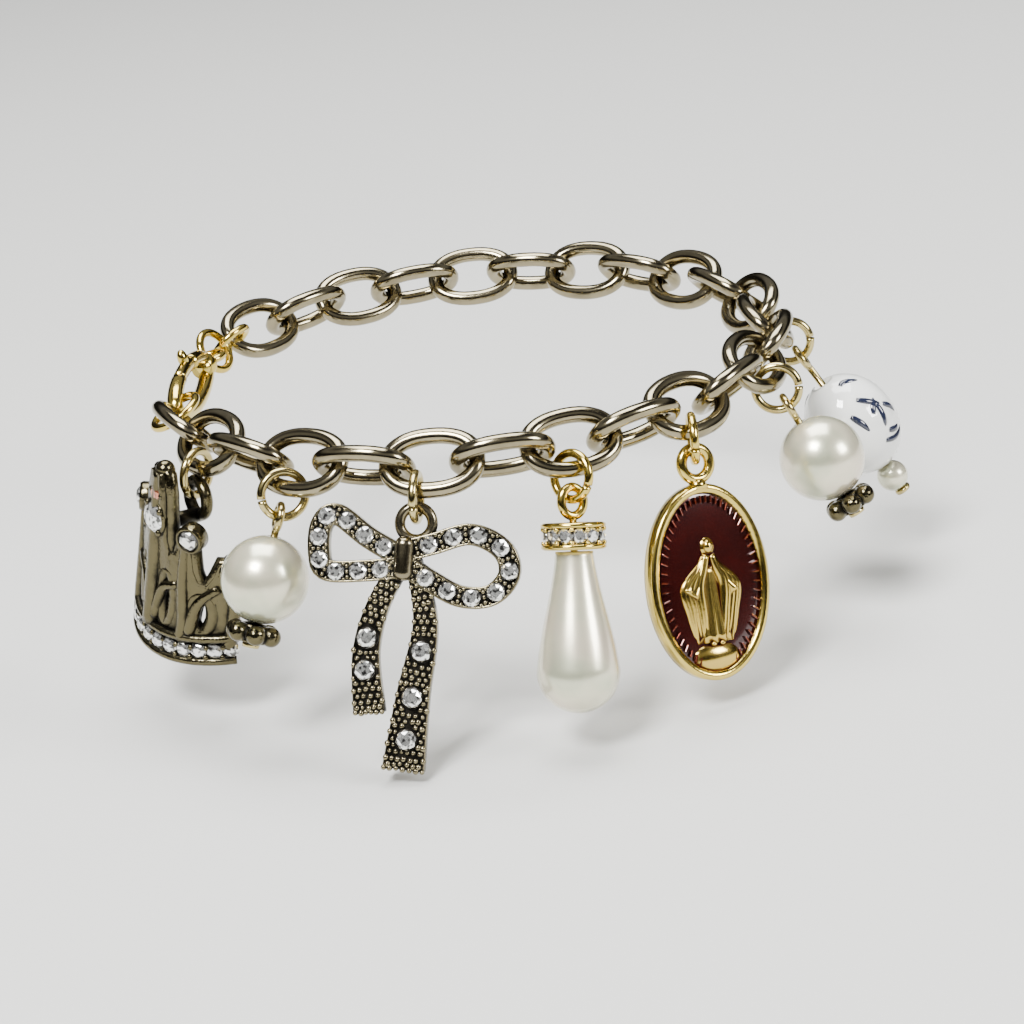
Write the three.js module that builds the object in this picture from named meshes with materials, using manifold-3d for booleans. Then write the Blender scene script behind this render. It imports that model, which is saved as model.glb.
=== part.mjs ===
// Charm bracelet: an oval-link chain closed by a lobster clasp, with seven charms on jump rings.
// Millimetres. The origin is the centre of the loop, +Z runs along the wrist, and -Y is the front.
import * as THREE from "three";
import { mergeVertices } from "three/addons/utils/BufferGeometryUtils.js";
import Module from "manifold-3d";

const wasm = await Module();
wasm.setup();

// Chain: the links share out what the clasp and its rings leave of the loop
const LOOP_RADIUS = 30.03;
const CLASP_REACH = 26.184;
const LINK_COUNT = 25;
const LINK_PITCH = (2 * Math.PI * LOOP_RADIUS - CLASP_REACH) / LINK_COUNT;
const FIRST_LINK = -5;
const FRONT_LINK_DEG = -5.9;
const LINK_WIDTH = 7.0;
const LINK_WIRE = 1.55;
const LINK_PLAY = 0.35;
const LINK_LENGTH = LINK_PITCH + 2 * LINK_WIRE + LINK_PLAY;
const LINK_TWIST_DEG = 45;
const LINK_SIDES = 15;
const WIRE_SIDES = 6;
const FULLNESS = 2.25;

// How far fused pieces run into each other
const SINK = 0.05;

// Jump rings
const RING_OUTER = 5.1;
const RING_WIRE = 0.85;
const RING_SIDES = 14;
const CLEARANCE = 0.3;
const GAP = 0.3;

// Lobster clasp
const CLASP_WIDTH = 5.4;
const CLASP_ROLL_DEG = 10;
const CLASP_THICKNESS = 1.6;
const HOOK_RING_OUTER = 5.8;
const CLASP_BAR = 1.35;
const HOOK_WIRE = 1.3;
const CLASP_EYE_OUTER = 3.8;
const CLASP_EYE_WIRE = 0.8;
const CLASP_CLEARANCE = 0.5;
const CLASP_COLLAR = 2.6;
const CLASP_ROUNDING = 0.45;
const LEVER_LENGTH = 4.6;
const LEVER_SETBACK = 1.67;
const LEVER_BAR = 1.82;
const LEVER_THICKNESS = 1.3;
const TAB_HEIGHT = 1.6;
const TAB_FOOT = 1.4;
const TAB_TIP = 1.0;

// Beads and pins
const PIN_WIRE = 0.7;
const PIN_HEAD = 1.7;
const PIN_HEAD_THICKNESS = 0.5;
const PIN_SIDES = 8;
const HEAD_SIDES = 10;
const EYE_SIDES = 12;
const EYE_OUTER = 3.0;
const EYE_WIRE = 0.75;
const PEARL = 8.3;
const BEAD_SIDES = 14;
const BEAD_ROWS = 9;
const SPACER_OUTER = 5.5;
const SPACER_BALL = 1.9;
const SPACER_BALLS = 6;
const SPACER_CORE_HEIGHT = 1.3;
const SPACER_SIDES = 12;
const PORCELAIN_WIDTH = 9.2;
const PORCELAIN_LENGTH = 11.0;
const PORCELAIN_HOLE = 2.2;
const PORCELAIN_STEM_SHOWN = 1.9;
const END_PEARL = 3.2;
const END_PEARL_ROWS = 6;
const DROP_WIDTH = 7.7;
const DROP_NECK = 3.5;
const DROP_LENGTH = 14.8;
const DROP_BORE_DEPTH = 3.0;
const DROP_SWELL = 0.45;
const DROP_BELLY_ROWS = 5;
const DROP_NECK_ROWS = 5;
const RONDELLE_OUTER = 6.0;
const RONDELLE_HEIGHT = 2.5;
const RONDELLE_RIM = 0.5;
const RONDELLE_STONES = 8;
const RONDELLE_GROOVE = 0.55;
const RONDELLE_CHAMFER = 0.2;
const RONDELLE_SIDES = 12;
const DROP_EYE_WIDTH = 3.1;
const DROP_EYE_HEIGHT = 3.5;
const DROP_EYE_WIRE = 0.85;

// Cut stones, as shares of the diameter and of the radius
const STONE_CROWN = 0.22;
const STONE_TABLE = 0.58;
const STONE_FOOT = 0.8;
const STONE_FACETS = 8;
const STONE_STEM = 0.6;

// Bow
const BOW_THICKNESS = 1.7;
const BOW_BAND = 1.95;
const BOW_LEFT_SPAN = 8.0;
const BOW_RIGHT_SPAN = 9.7;
const BOW_LOOP_HEIGHT = 6.6;
const BOW_KNOT_WIDTH = 1.8;
const BOW_KNOT_HEIGHT = 4.3;
const BOW_KNOT_DEPTH = 2.4;
const BOW_BAIL_OUTER = 4.0;
const BOW_BAIL_WIRE = 1.0;
const BOW_DROP = 3.2;
const BOW_SHIFT = 1.05;
const BOW_TURN_DEG = 3;
const BOW_NECK = 1.3;
const BOW_STONE = 1.45;
const BOW_LOOP_STONES = 9;
const BOW_TAIL_STONE = 2.0;
const BOW_LEFT_TAIL = 14.2;
const BOW_RIGHT_TAIL = 19.2;
const BOW_TAIL_WIDTH = 3.9;
const BOW_LOOP_STEPS = 16;
const BOW_TAIL_STEPS = 8;

// Medal
const MEDAL_WIDTH = 12.6;
const MEDAL_HEIGHT = 18.4;
const MEDAL_THICKNESS = 1.7;
const MEDAL_RIM = 0.6;
const MEDAL_RECESS = 0.7;
const MEDAL_BAIL_OUTER = 4.0;
const MEDAL_BAIL_WIRE = 1.05;
const ENAMEL_THICKNESS = 0.4;
const ENAMEL_GAP = 0.4;
const MEDAL_NECK = 1.1;
const MEDAL_NECK_FOOT = 2.3;
const FIGURE_HEIGHT = 11.0;
const FIGURE_RELIEF = 1.1;
const ROBE_LENGTH = 7.0;
const ROBE_SHOULDERS = 1.7;
const ROBE_HEM = 4.1;
const CLOAK_LENGTH = 1.8;
const CLOAK_TOP = 0.95;
const CLOAK_HEM = 2.4;
const SLEEVE_LENGTH = 3.0;
const SLEEVE_TOP = 0.75;
const SLEEVE_HEM = 1.6;
const SLEEVE_OUT = 0.95;
const SLEEVE_LEAN_DEG = 34;
const HEAD = 1.65;
const MOUND_WIDTH = 5.2;
const MOUND_HEIGHT = 3.0;
const MOUND_SINK = 1.65;

// Crown
const CROWN_RADIUS = 8.6;
const CROWN_WALL = 1.3;
const CROWN_SPREAD_DEG = 66;
const CROWN_BAND_HEIGHT = 2.9;
const CROWN_BAND_SWELL = 0.5;
const CROWN_SIDE_HEIGHT = 12.0;
const CROWN_MID_HEIGHT = 14.2;
const CROWN_TOP_HEIGHT = 19.6;
const CROWN_SAG = 1.6;
const CROWN_BALL = 1.9;
const CROWN_STONE = 1.55;
const CROWN_STONES = 9;
const CROWN_CREST = 3.4;
const CROWN_CUP = 2.9;
const CROWN_CUP_DEPTH = 1.8;
const CROWN_BAIL_OUTER = 4.6;
const CROWN_BAIL_WIRE = 1.2;
const CROWN_BAIL_BELOW_TOP = 4.0;
const CROWN_BAIL_HEIGHT = CROWN_TOP_HEIGHT - CROWN_BAIL_BELOW_TOP;
const CROWN_CREST_HEIGHT = 14.6;
const CROWN_CUP_STONE = 2.1;
const CROWN_STONE_SPREAD_DEG = 60.7;
const CROWN_MID_DEG = 31;
const CROWN_SIDE_DEG = 59;
const CROWN_POST = 1.5;
const CROWN_TILT_DEG = 12;

const STEEL = { color: 0x8d8474, roughness: 0.28, metalness: 1 };
const GOLD = { color: 0xc9a44a, roughness: 0.25, metalness: 1 };
const ANTIQUE = { color: 0x6f6657, roughness: 0.4, metalness: 1 };
const PEARL_LUSTRE = { color: 0xece8da, roughness: 0.25, metalness: 0 };
const PORCELAIN = { color: 0xf0f0ee, roughness: 0.1, metalness: 0 };
const RED_ENAMEL = { color: 0x4a0a10, roughness: 0.15, metalness: 0 };

const radians = THREE.MathUtils.degToRad;
const linkStepDeg = THREE.MathUtils.radToDeg(LINK_PITCH / LOOP_RADIUS);
const wireRadius = LINK_WIRE / 2;
const bracelet = new THREE.Group();

/** A closed geometry as a solid, with shared vertices merged. */
function solid(geometry, matrix = new THREE.Matrix4()) {
  const bare = (geometry.index ? geometry.toNonIndexed() : geometry.clone()).applyMatrix4(matrix);
  for (const name of Object.keys(bare.attributes)) {
    if (name !== "position") bare.deleteAttribute(name);
  }
  const merged = mergeVertices(bare, 1e-4);
  return new wasm.Manifold(
    new wasm.Mesh({
      numProp: 3,
      vertProperties: new Float32Array(merged.attributes.position.array),
      triVerts: new Uint32Array(merged.index.array),
    }),
  );
}

/** The solid's triangles as a geometry. */
function geometryOf(made) {
  const mesh = made.getMesh();
  const geometry = new THREE.BufferGeometry();
  const positions = new Float32Array(mesh.vertProperties);
  geometry.setAttribute("position", new THREE.BufferAttribute(positions, 3));
  geometry.setIndex(new THREE.BufferAttribute(new Uint32Array(mesh.triVerts), 1));
  return geometry;
}

const fuse = (solids) => solids.reduce((whole, piece) => whole.add(piece));

/** A matrix from a place and turns about X, Y and Z in degrees. */
function placed(x, y, z, turnX = 0, turnY = 0, turnZ = 0) {
  const turn = new THREE.Euler(radians(turnX), radians(turnY), radians(turnZ), "ZYX");
  return new THREE.Matrix4().makeRotationFromEuler(turn).setPosition(x, y, z);
}

function addMesh(group, name, geometry, finish) {
  const mesh = new THREE.Mesh(geometry, new THREE.MeshStandardMaterial(finish));
  mesh.name = name;
  group.add(mesh);
  return mesh;
}

/** A round wire bent to a closed oval in the XY plane, with its length along X. */
function ovalWire(length, width, wire, around, sides, fullness = 2) {
  const geometry = new THREE.TorusGeometry(1, wire / 2, sides, around);
  const position = geometry.attributes.position;
  const halfLength = (length - wire) / 2;
  const halfWidth = (width - wire) / 2;
  const centreAt = (angle) => {
    const c = Math.cos(angle);
    const s = Math.sin(angle);
    return new THREE.Vector2(
      halfLength * Math.sign(c) * Math.abs(c) ** (2 / fullness),
      halfWidth * Math.sign(s) * Math.abs(s) ** (2 / fullness),
    );
  };
  const step = 1e-3;
  for (let i = 0; i < position.count; i += 1) {
    const x = position.getX(i);
    const y = position.getY(i);
    const angle = Math.atan2(y, x);
    const along = centreAt(angle + step).sub(centreAt(angle - step)).normalize();
    const offset = Math.hypot(x, y) - 1;
    const centre = centreAt(angle);
    position.setXY(i, centre.x + along.y * offset, centre.y - along.x * offset);
  }
  return geometry;
}

/** A round ring of wire in the XZ plane, so that its axis is Y. */
function wireRing(outer, wire, around = RING_SIDES, sides = WIRE_SIDES) {
  return new THREE.TorusGeometry((outer - wire) / 2, wire / 2, sides, around).rotateX(Math.PI / 2);
}

/** A body turned about Z from [radius, height] pairs. */
function turned(profile, sides) {
  const points = profile.map(([radius, height]) => new THREE.Vector2(radius, height));
  return new THREE.LatheGeometry(points, sides).rotateX(Math.PI / 2);
}

/** A cut stone facing -Y: a table, its crown facets and a plain stem sunk in its seat. */
function cutStone(diameter, stem = STONE_STEM) {
  const radius = diameter / 2;
  const crown = diameter * STONE_CROWN;
  const foot = radius * STONE_FOOT;
  const profile = [[0, -stem], [foot, -stem], [radius, 0], [radius * STONE_TABLE, crown], [0, crown]];
  return solid(turned(profile, STONE_FACETS), placed(0, 0, 0, 90));
}

/** The frame at an angle round the loop: X along the chain, -Y outwards. */
function frameAt(angleDeg) {
  const angle = radians(angleDeg);
  return {
    centre: new THREE.Vector3(LOOP_RADIUS * Math.sin(angle), -LOOP_RADIUS * Math.cos(angle), 0),
    along: new THREE.Vector3(Math.cos(angle), Math.sin(angle), 0),
    outward: new THREE.Vector3(Math.sin(angle), -Math.cos(angle), 0),
  };
}

const linkAngle = (index) => FRONT_LINK_DEG + index * linkStepDeg;
const up = new THREE.Vector3(0, 0, 1);

function buildChain() {
  const geometry = ovalWire(LINK_LENGTH, LINK_WIDTH, LINK_WIRE, LINK_SIDES, WIRE_SIDES, FULLNESS);
  for (let n = 0; n < LINK_COUNT; n += 1) {
    const index = FIRST_LINK + n;
    const { centre } = frameAt(linkAngle(index));
    const holder = new THREE.Group();
    holder.position.copy(centre);
    holder.rotation.z = radians(linkAngle(index));
    const mesh = addMesh(holder, `link_${String(n + 1).padStart(2, "0")}`, geometry, STEEL);
    const even = index % 2 === 0;
    mesh.rotation.x = radians(even ? 90 - LINK_TWIST_DEG : 90 + LINK_TWIST_DEG);
    bracelet.add(holder);
  }
}

/** Where a jump ring hangs: the wire of an outward-leaning link, slide mm along from its middle. */
function hangPoint(index, slide) {
  const halfLength = (LINK_LENGTH - LINK_WIRE) / 2;
  const halfWidth = (LINK_WIDTH - LINK_WIRE) / 2;
  const share = (1 - Math.abs(slide / halfLength) ** FULLNESS) ** (1 / FULLNESS);
  const reach = halfWidth * share;
  const { centre, along, outward } = frameAt(linkAngle(index));
  const tilt = radians(LINK_TWIST_DEG);
  return centre
    .clone()
    .addScaledVector(along, slide)
    .addScaledVector(outward, reach * Math.sin(tilt))
    .addScaledVector(up, -reach * Math.cos(tilt));
}

/** Unit vector down a charm that leans outwards and along the chain from straight down. */
function charmDown(angleDeg, leanOut, leanAlong) {
  const { along, outward } = frameAt(angleDeg);
  return new THREE.Vector3()
    .addScaledVector(up, -1)
    .addScaledVector(outward, Math.tan(radians(leanOut)))
    .addScaledVector(along, Math.tan(radians(leanAlong)))
    .normalize();
}

/** Places an object whose -Z runs down and whose Y axis points to a compass angle in the XY plane. */
function orient(object, position, down, yTowardDeg) {
  const zAxis = down.clone().negate();
  const toward = new THREE.Vector3(Math.cos(radians(yTowardDeg)), Math.sin(radians(yTowardDeg)), 0);
  const xAxis = new THREE.Vector3().crossVectors(toward, zAxis).normalize();
  const yAxis = new THREE.Vector3().crossVectors(zAxis, xAxis);
  object.quaternion.setFromRotationMatrix(new THREE.Matrix4().makeBasis(xAxis, yAxis, zAxis));
  object.position.copy(position);
}

/**
 * Hangs a jump ring on a link and returns a group at the ring's lowest inner point, for the charm's eye.
 * The group's origin is the middle of the eye, whose inner radius is eyeInner.
 */
function hang(spec, eyeInner) {
  const angle = linkAngle(spec.link);
  const down = charmDown(angle, spec.leanOut, spec.leanAlong);
  const point = hangPoint(spec.link, spec.slide);
  const ringInner = RING_OUTER / 2 - RING_WIRE;
  const ringCentre = point.clone().addScaledVector(down, ringInner - wireRadius - CLEARANCE);
  const ring = addMesh(bracelet, `${spec.name}_ring`, wireRing(RING_OUTER, RING_WIRE), GOLD);
  orient(ring, ringCentre, down, spec.ringAxisDeg);
  const ringWireAt = (RING_OUTER - RING_WIRE) / 2;
  const drop = ringWireAt + eyeInner - RING_WIRE / 2 - CLEARANCE;
  const group = new THREE.Group();
  orient(group, ringCentre.clone().addScaledVector(down, drop), down, spec.charmYDeg);
  bracelet.add(group);
  return group;
}

/** A pin with an eye at the origin, a stem down to length, and a flat head. */
function eyePin(length) {
  const eyeRadius = (EYE_OUTER - EYE_WIRE) / 2;
  const stemLength = length - eyeRadius;
  return fuse([
    solid(wireRing(EYE_OUTER, EYE_WIRE, EYE_SIDES)),
    solid(
      new THREE.CylinderGeometry(PIN_WIRE / 2, PIN_WIRE / 2, stemLength + SINK, PIN_SIDES),
      placed(0, 0, -eyeRadius - (stemLength + SINK) / 2, 90),
    ),
    solid(
      new THREE.CylinderGeometry(PIN_HEAD / 2, PIN_HEAD / 2, PIN_HEAD_THICKNESS, HEAD_SIDES),
      placed(0, 0, -length - PIN_HEAD_THICKNESS / 2, 90),
    ),
  ]);
}

/** A drilled bead: an ellipsoid with a straight bore, centred on the origin. */
function drilledBead(width, length, bore, rows = BEAD_ROWS) {
  const start = Math.asin(bore / width);
  const profile = [];
  for (let i = 0; i <= rows; i += 1) {
    const angle = start + ((Math.PI - 2 * start) * i) / rows;
    profile.push([(width / 2) * Math.sin(angle), (-length / 2) * Math.cos(angle)]);
  }
  profile.push(profile[0]);
  return turned(profile, BEAD_SIDES);
}

/** A ring of fused balls round a drilled core. */
function beadedSpacer() {
  const bore = PIN_WIRE / 2 + GAP;
  const ballCentre = (SPACER_OUTER - SPACER_BALL) / 2;
  const half = SPACER_CORE_HEIGHT / 2;
  const core = solid(
    turned(
      [[bore, -half], [ballCentre, -half], [ballCentre, half], [bore, half], [bore, -half]],
      SPACER_SIDES,
    ),
  );
  const ball = new THREE.SphereGeometry(SPACER_BALL / 2, 7, 5);
  const balls = Array.from({ length: SPACER_BALLS }, (_, i) => {
    const angle = (2 * Math.PI * i) / SPACER_BALLS;
    return solid(ball, placed(ballCentre * Math.cos(angle), ballCentre * Math.sin(angle), 0, 90));
  });
  return fuse([core, ...balls]);
}

function buildPearlCharm(spec) {
  const group = hang(spec, EYE_OUTER / 2 - EYE_WIRE);
  const pearlTop = EYE_OUTER / 2 + GAP;
  const pearlCentre = pearlTop + PEARL / 2;
  const spacerCentre = pearlTop + PEARL + SPACER_BALL / 2;
  const pinLength = spacerCentre + SPACER_CORE_HEIGHT / 2 + GAP;
  addMesh(group, `${spec.name}_pin`, geometryOf(eyePin(pinLength)), GOLD);
  const pearl = addMesh(group, spec.name, drilledBead(PEARL, PEARL, PIN_WIRE + 2 * GAP), PEARL_LUSTRE);
  pearl.position.z = -pearlCentre;
  const spacer = addMesh(group, `${spec.name}_spacer`, geometryOf(beadedSpacer()), ANTIQUE);
  spacer.position.z = -spacerCentre;
}

function buildPorcelainCharm(spec) {
  const group = hang(spec, EYE_OUTER / 2 - EYE_WIRE);
  const beadTop = EYE_OUTER / 2 + PORCELAIN_STEM_SHOWN;
  const boreShare = PORCELAIN_HOLE / PORCELAIN_WIDTH;
  const trueHalf = (PORCELAIN_LENGTH / 2) * Math.sqrt(1 - boreShare ** 2);
  const beadCentre = beadTop + trueHalf;
  const endCentre = beadCentre + trueHalf + END_PEARL / 2;
  const pinLength = endCentre + END_PEARL / 2;
  addMesh(group, `${spec.name}_pin`, geometryOf(eyePin(pinLength)), GOLD);
  const bead = drilledBead(PORCELAIN_WIDTH, PORCELAIN_LENGTH, PORCELAIN_HOLE);
  addMesh(group, spec.name, bead, PORCELAIN).position.z = -beadCentre;
  const end = drilledBead(END_PEARL, END_PEARL, PIN_WIRE + 2 * GAP, END_PEARL_ROWS);
  addMesh(group, `${spec.name}_end_pearl`, end, PEARL_LUSTRE).position.z = -endCentre;
}

/** Two thin rims with a ring of stones set between them, drilled for the pin. */
function rondelle() {
  const bore = PIN_WIRE / 2 + GAP;
  const outer = RONDELLE_OUTER / 2;
  const half = RONDELLE_HEIGHT / 2;
  const waist = outer - RONDELLE_GROOVE;
  const lip = half - RONDELLE_RIM;
  const profile = [
    [bore, -half],
    [outer - RONDELLE_CHAMFER, -half],
    [outer, -half + RONDELLE_CHAMFER],
    [outer, -lip],
    [waist, -lip],
  ];
  const mirrored = profile.map(([radius, height]) => [radius, -height]).reverse();
  const body = solid(turned([...profile, ...mirrored, profile[0]], RONDELLE_SIDES));
  const stone = cutStone(2 * lip);
  const stones = Array.from({ length: RONDELLE_STONES }, (_, i) => {
    const turn = (360 * (i + 1 / 2)) / RONDELLE_STONES;
    const angle = radians(turn);
    const reach = waist - SINK;
    const place = placed(reach * Math.sin(angle), -reach * Math.cos(angle), 0, 0, 0, turn);
    return stone.transform(place.elements);
  });
  return fuse([body, ...stones]);
}

function buildTeardropCharm(spec) {
  const group = hang(spec, DROP_EYE_HEIGHT / 2 - DROP_EYE_WIRE);
  const rondelleTop = DROP_EYE_HEIGHT / 2 + GAP / 2;
  const rondelleCentre = rondelleTop + RONDELLE_HEIGHT / 2;
  const dropTop = rondelleTop + RONDELLE_HEIGHT + GAP / 2;
  const stem = dropTop + DROP_BORE_DEPTH - GAP;
  const eyeFoot = (DROP_EYE_HEIGHT - DROP_EYE_WIRE) / 2;
  const eye = ovalWire(DROP_EYE_HEIGHT, DROP_EYE_WIDTH, DROP_EYE_WIRE, RING_SIDES, WIRE_SIDES);
  const pin = fuse([
    solid(eye, new THREE.Matrix4().makeRotationX(Math.PI / 2).multiply(
      new THREE.Matrix4().makeRotationZ(Math.PI / 2))),
    solid(
      new THREE.CylinderGeometry(PIN_WIRE / 2, PIN_WIRE / 2, stem - eyeFoot, PIN_SIDES),
      placed(0, 0, -(stem + eyeFoot) / 2, 90),
    ),
  ]);
  addMesh(group, `${spec.name}_pin`, geometryOf(pin), GOLD);
  const rims = addMesh(group, `${spec.name}_rondelle`, geometryOf(rondelle()), GOLD);
  rims.position.z = -rondelleCentre;
  const bore = PIN_WIRE / 2 + GAP / 2;
  const belly = DROP_WIDTH / 2;
  const neck = DROP_NECK / 2;
  const bellyAt = DROP_LENGTH - belly;
  const profile = [[0, -DROP_LENGTH]];
  for (let i = 1; i <= DROP_BELLY_ROWS; i += 1) {
    const angle = ((Math.PI / 2) * i) / DROP_BELLY_ROWS;
    profile.push([belly * Math.sin(angle), -bellyAt - belly * Math.cos(angle)]);
  }
  for (let i = 1; i <= DROP_NECK_ROWS; i += 1) {
    const share = i / DROP_NECK_ROWS;
    const ease = (1 + Math.cos(Math.PI * share)) / 2;
    const swell = DROP_SWELL * ease + (1 - DROP_SWELL) * (1 - share);
    profile.push([neck + (belly - neck) * swell, -bellyAt * (1 - share)]);
  }
  profile.push([bore, 0], [bore, -DROP_BORE_DEPTH], [0, -DROP_BORE_DEPTH]);
  addMesh(group, spec.name, turned(profile, BEAD_SIDES), PEARL_LUSTRE).position.z = -dropTop;
}

/** A flat strip of even or tapering width along a curve in the XZ plane, from -Y to +Y depth. */
function strip(curve, widthAt, depth, steps) {
  const left = [];
  const right = [];
  for (let i = 0; i <= steps; i += 1) {
    const share = i / steps;
    const at = curve.getPointAt(share);
    const tangent = curve.getTangentAt(share);
    const half = widthAt(share) / 2;
    left.push(new THREE.Vector2(at.x - tangent.y * half, at.y + tangent.x * half));
    right.push(new THREE.Vector2(at.x + tangent.y * half, at.y - tangent.x * half));
  }
  const shape = new THREE.Shape([...left, ...right.reverse()]);
  const geometry = new THREE.ExtrudeGeometry(shape, { depth, bevelEnabled: false });
  return solid(geometry, placed(0, depth / 2, 0, 90));
}

// The centre line of each bow loop as shares of its span and of the loop height, from the knot and back.
const BOW_LOOP_LEFT = [
  { span: 0.0, rise: 0.0 },
  { span: -0.42, rise: 0.26 },
  { span: -0.8, rise: 0.56 },
  { span: -0.97, rise: 0.4 },
  { span: -0.98, rise: 0.0 },
  { span: -0.88, rise: -0.22 },
  { span: -0.45, rise: -0.2 },
  { span: 0.0, rise: -0.12 },
];
const BOW_LOOP_RIGHT = [
  { span: 0.0, rise: 0.1 },
  { span: 0.27, rise: 0.22 },
  { span: 0.62, rise: 0.38 },
  { span: 0.92, rise: 0.2 },
  { span: 1.0, rise: -0.14 },
  { span: 0.84, rise: -0.44 },
  { span: 0.55, rise: -0.48 },
  { span: 0.27, rise: -0.3 },
  { span: 0.0, rise: -0.08 },
];
// The tails as shares of the tail length down and of the tail width across.
const BOW_TAIL_LEFT = [
  { down: 0.0, across: 0.0 },
  { down: 0.3, across: -0.55 },
  { down: 0.62, across: -0.79 },
  { down: 1.0, across: -0.64 },
];
const BOW_TAIL_RIGHT = [
  { down: 0.0, across: 0.2 },
  { down: 0.3, across: 0.57 },
  { down: 0.65, across: 0.37 },
  { down: 1.0, across: 0.23 },
];
// Each tail's width at its knot and foot as shares of the tail width, and where its stones sit along it.
const BOW_LEFT_CUT = { knot: 0.42, foot: 0.75, stones: [0.54, 0.74] };
const BOW_RIGHT_CUT = { knot: 0.38, foot: 1.0, stones: [0.44, 0.66, 0.86] };

const curveOf = (points) => new THREE.SplineCurve(points.map(([x, z]) => new THREE.Vector2(x, z)));

function bowStones(curve, shares, diameter) {
  return shares.map((share) => {
    const at = curve.getPointAt(share);
    return cutStone(diameter).transform(placed(at.x, -BOW_THICKNESS / 2 + SINK, at.y).elements);
  });
}

function buildBowCharm(spec) {
  const group = hang(spec, BOW_BAIL_OUTER / 2 - BOW_BAIL_WIRE);
  const loops = [
    curveOf(BOW_LOOP_LEFT.map(({ span, rise }) => [span * BOW_LEFT_SPAN, rise * BOW_LOOP_HEIGHT])),
    curveOf(BOW_LOOP_RIGHT.map(({ span, rise }) => [span * BOW_RIGHT_SPAN, rise * BOW_LOOP_HEIGHT])),
  ];
  const tails = [
    curveOf(BOW_TAIL_LEFT.map(({ down, across }) => [across * BOW_TAIL_WIDTH, -down * BOW_LEFT_TAIL])),
    curveOf(BOW_TAIL_RIGHT.map(({ down, across }) => [across * BOW_TAIL_WIDTH, -down * BOW_RIGHT_TAIL])),
  ];
  const pieces = [];
  for (const loop of loops) {
    const points = loop.getPoints(2 * BOW_LOOP_STEPS);
    for (const part of [points.slice(0, BOW_LOOP_STEPS + 1), points.slice(BOW_LOOP_STEPS)]) {
      const curve = new THREE.SplineCurve(part);
      pieces.push(strip(curve, () => BOW_BAND, BOW_THICKNESS, BOW_LOOP_STEPS / 2));
    }
    const shares = Array.from({ length: BOW_LOOP_STONES }, (_, i) => (i + 1) / (BOW_LOOP_STONES + 1));
    pieces.push(...bowStones(loop, shares, BOW_STONE));
  }
  [BOW_LEFT_CUT, BOW_RIGHT_CUT].forEach(({ knot, foot, stones }, i) => {
    const widthAt = (share) => BOW_TAIL_WIDTH * (knot + (foot - knot) * share);
    pieces.push(strip(tails[i], widthAt, BOW_THICKNESS, BOW_TAIL_STEPS));
    pieces.push(...bowStones(tails[i], stones, BOW_TAIL_STONE));
  });
  const knotRadius = BOW_KNOT_DEPTH / 2;
  const knot = new THREE.CylinderGeometry(knotRadius, knotRadius, BOW_KNOT_HEIGHT, HEAD_SIDES);
  const knotShape = new THREE.Matrix4().makeScale(BOW_KNOT_WIDTH / BOW_KNOT_DEPTH, 1, 1);
  pieces.push(solid(knot, knotShape.multiply(placed(0, 0, 0, 90))));
  const bow = fuse(pieces).transform(placed(-BOW_SHIFT, 0, -BOW_DROP, 0, BOW_TURN_DEG).elements);
  const bailLift = (BOW_BAIL_OUTER - BOW_BAIL_WIRE) / 2;
  const neckLength = Math.hypot(BOW_DROP - bailLift, BOW_SHIFT);
  const neckTurn = THREE.MathUtils.radToDeg(Math.atan2(BOW_SHIFT, BOW_DROP - bailLift));
  const neck = new THREE.CylinderGeometry(BOW_NECK / 2, BOW_NECK / 2, neckLength, PIN_SIDES);
  const neckPlace = placed(-BOW_SHIFT / 2, 0, -(BOW_DROP + bailLift) / 2, 0, neckTurn);
  const bail = fuse([
    solid(wireRing(BOW_BAIL_OUTER, BOW_BAIL_WIRE, EYE_SIDES)),
    solid(neck, neckPlace.multiply(placed(0, 0, 0, 90))),
  ]);
  addMesh(group, spec.name, geometryOf(bow.add(bail)), ANTIQUE);
}

/** An upright oval plate in the XZ plane between two depths. */
function ovalPlate(width, height, front, back, sides = 28) {
  const plate = new THREE.CylinderGeometry(0.5, 0.5, back - front, sides);
  const stretch = new THREE.Matrix4().makeScale(width, 1, height);
  return solid(plate, stretch.multiply(placed(0, (front + back) / 2, 0)));
}

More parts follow.
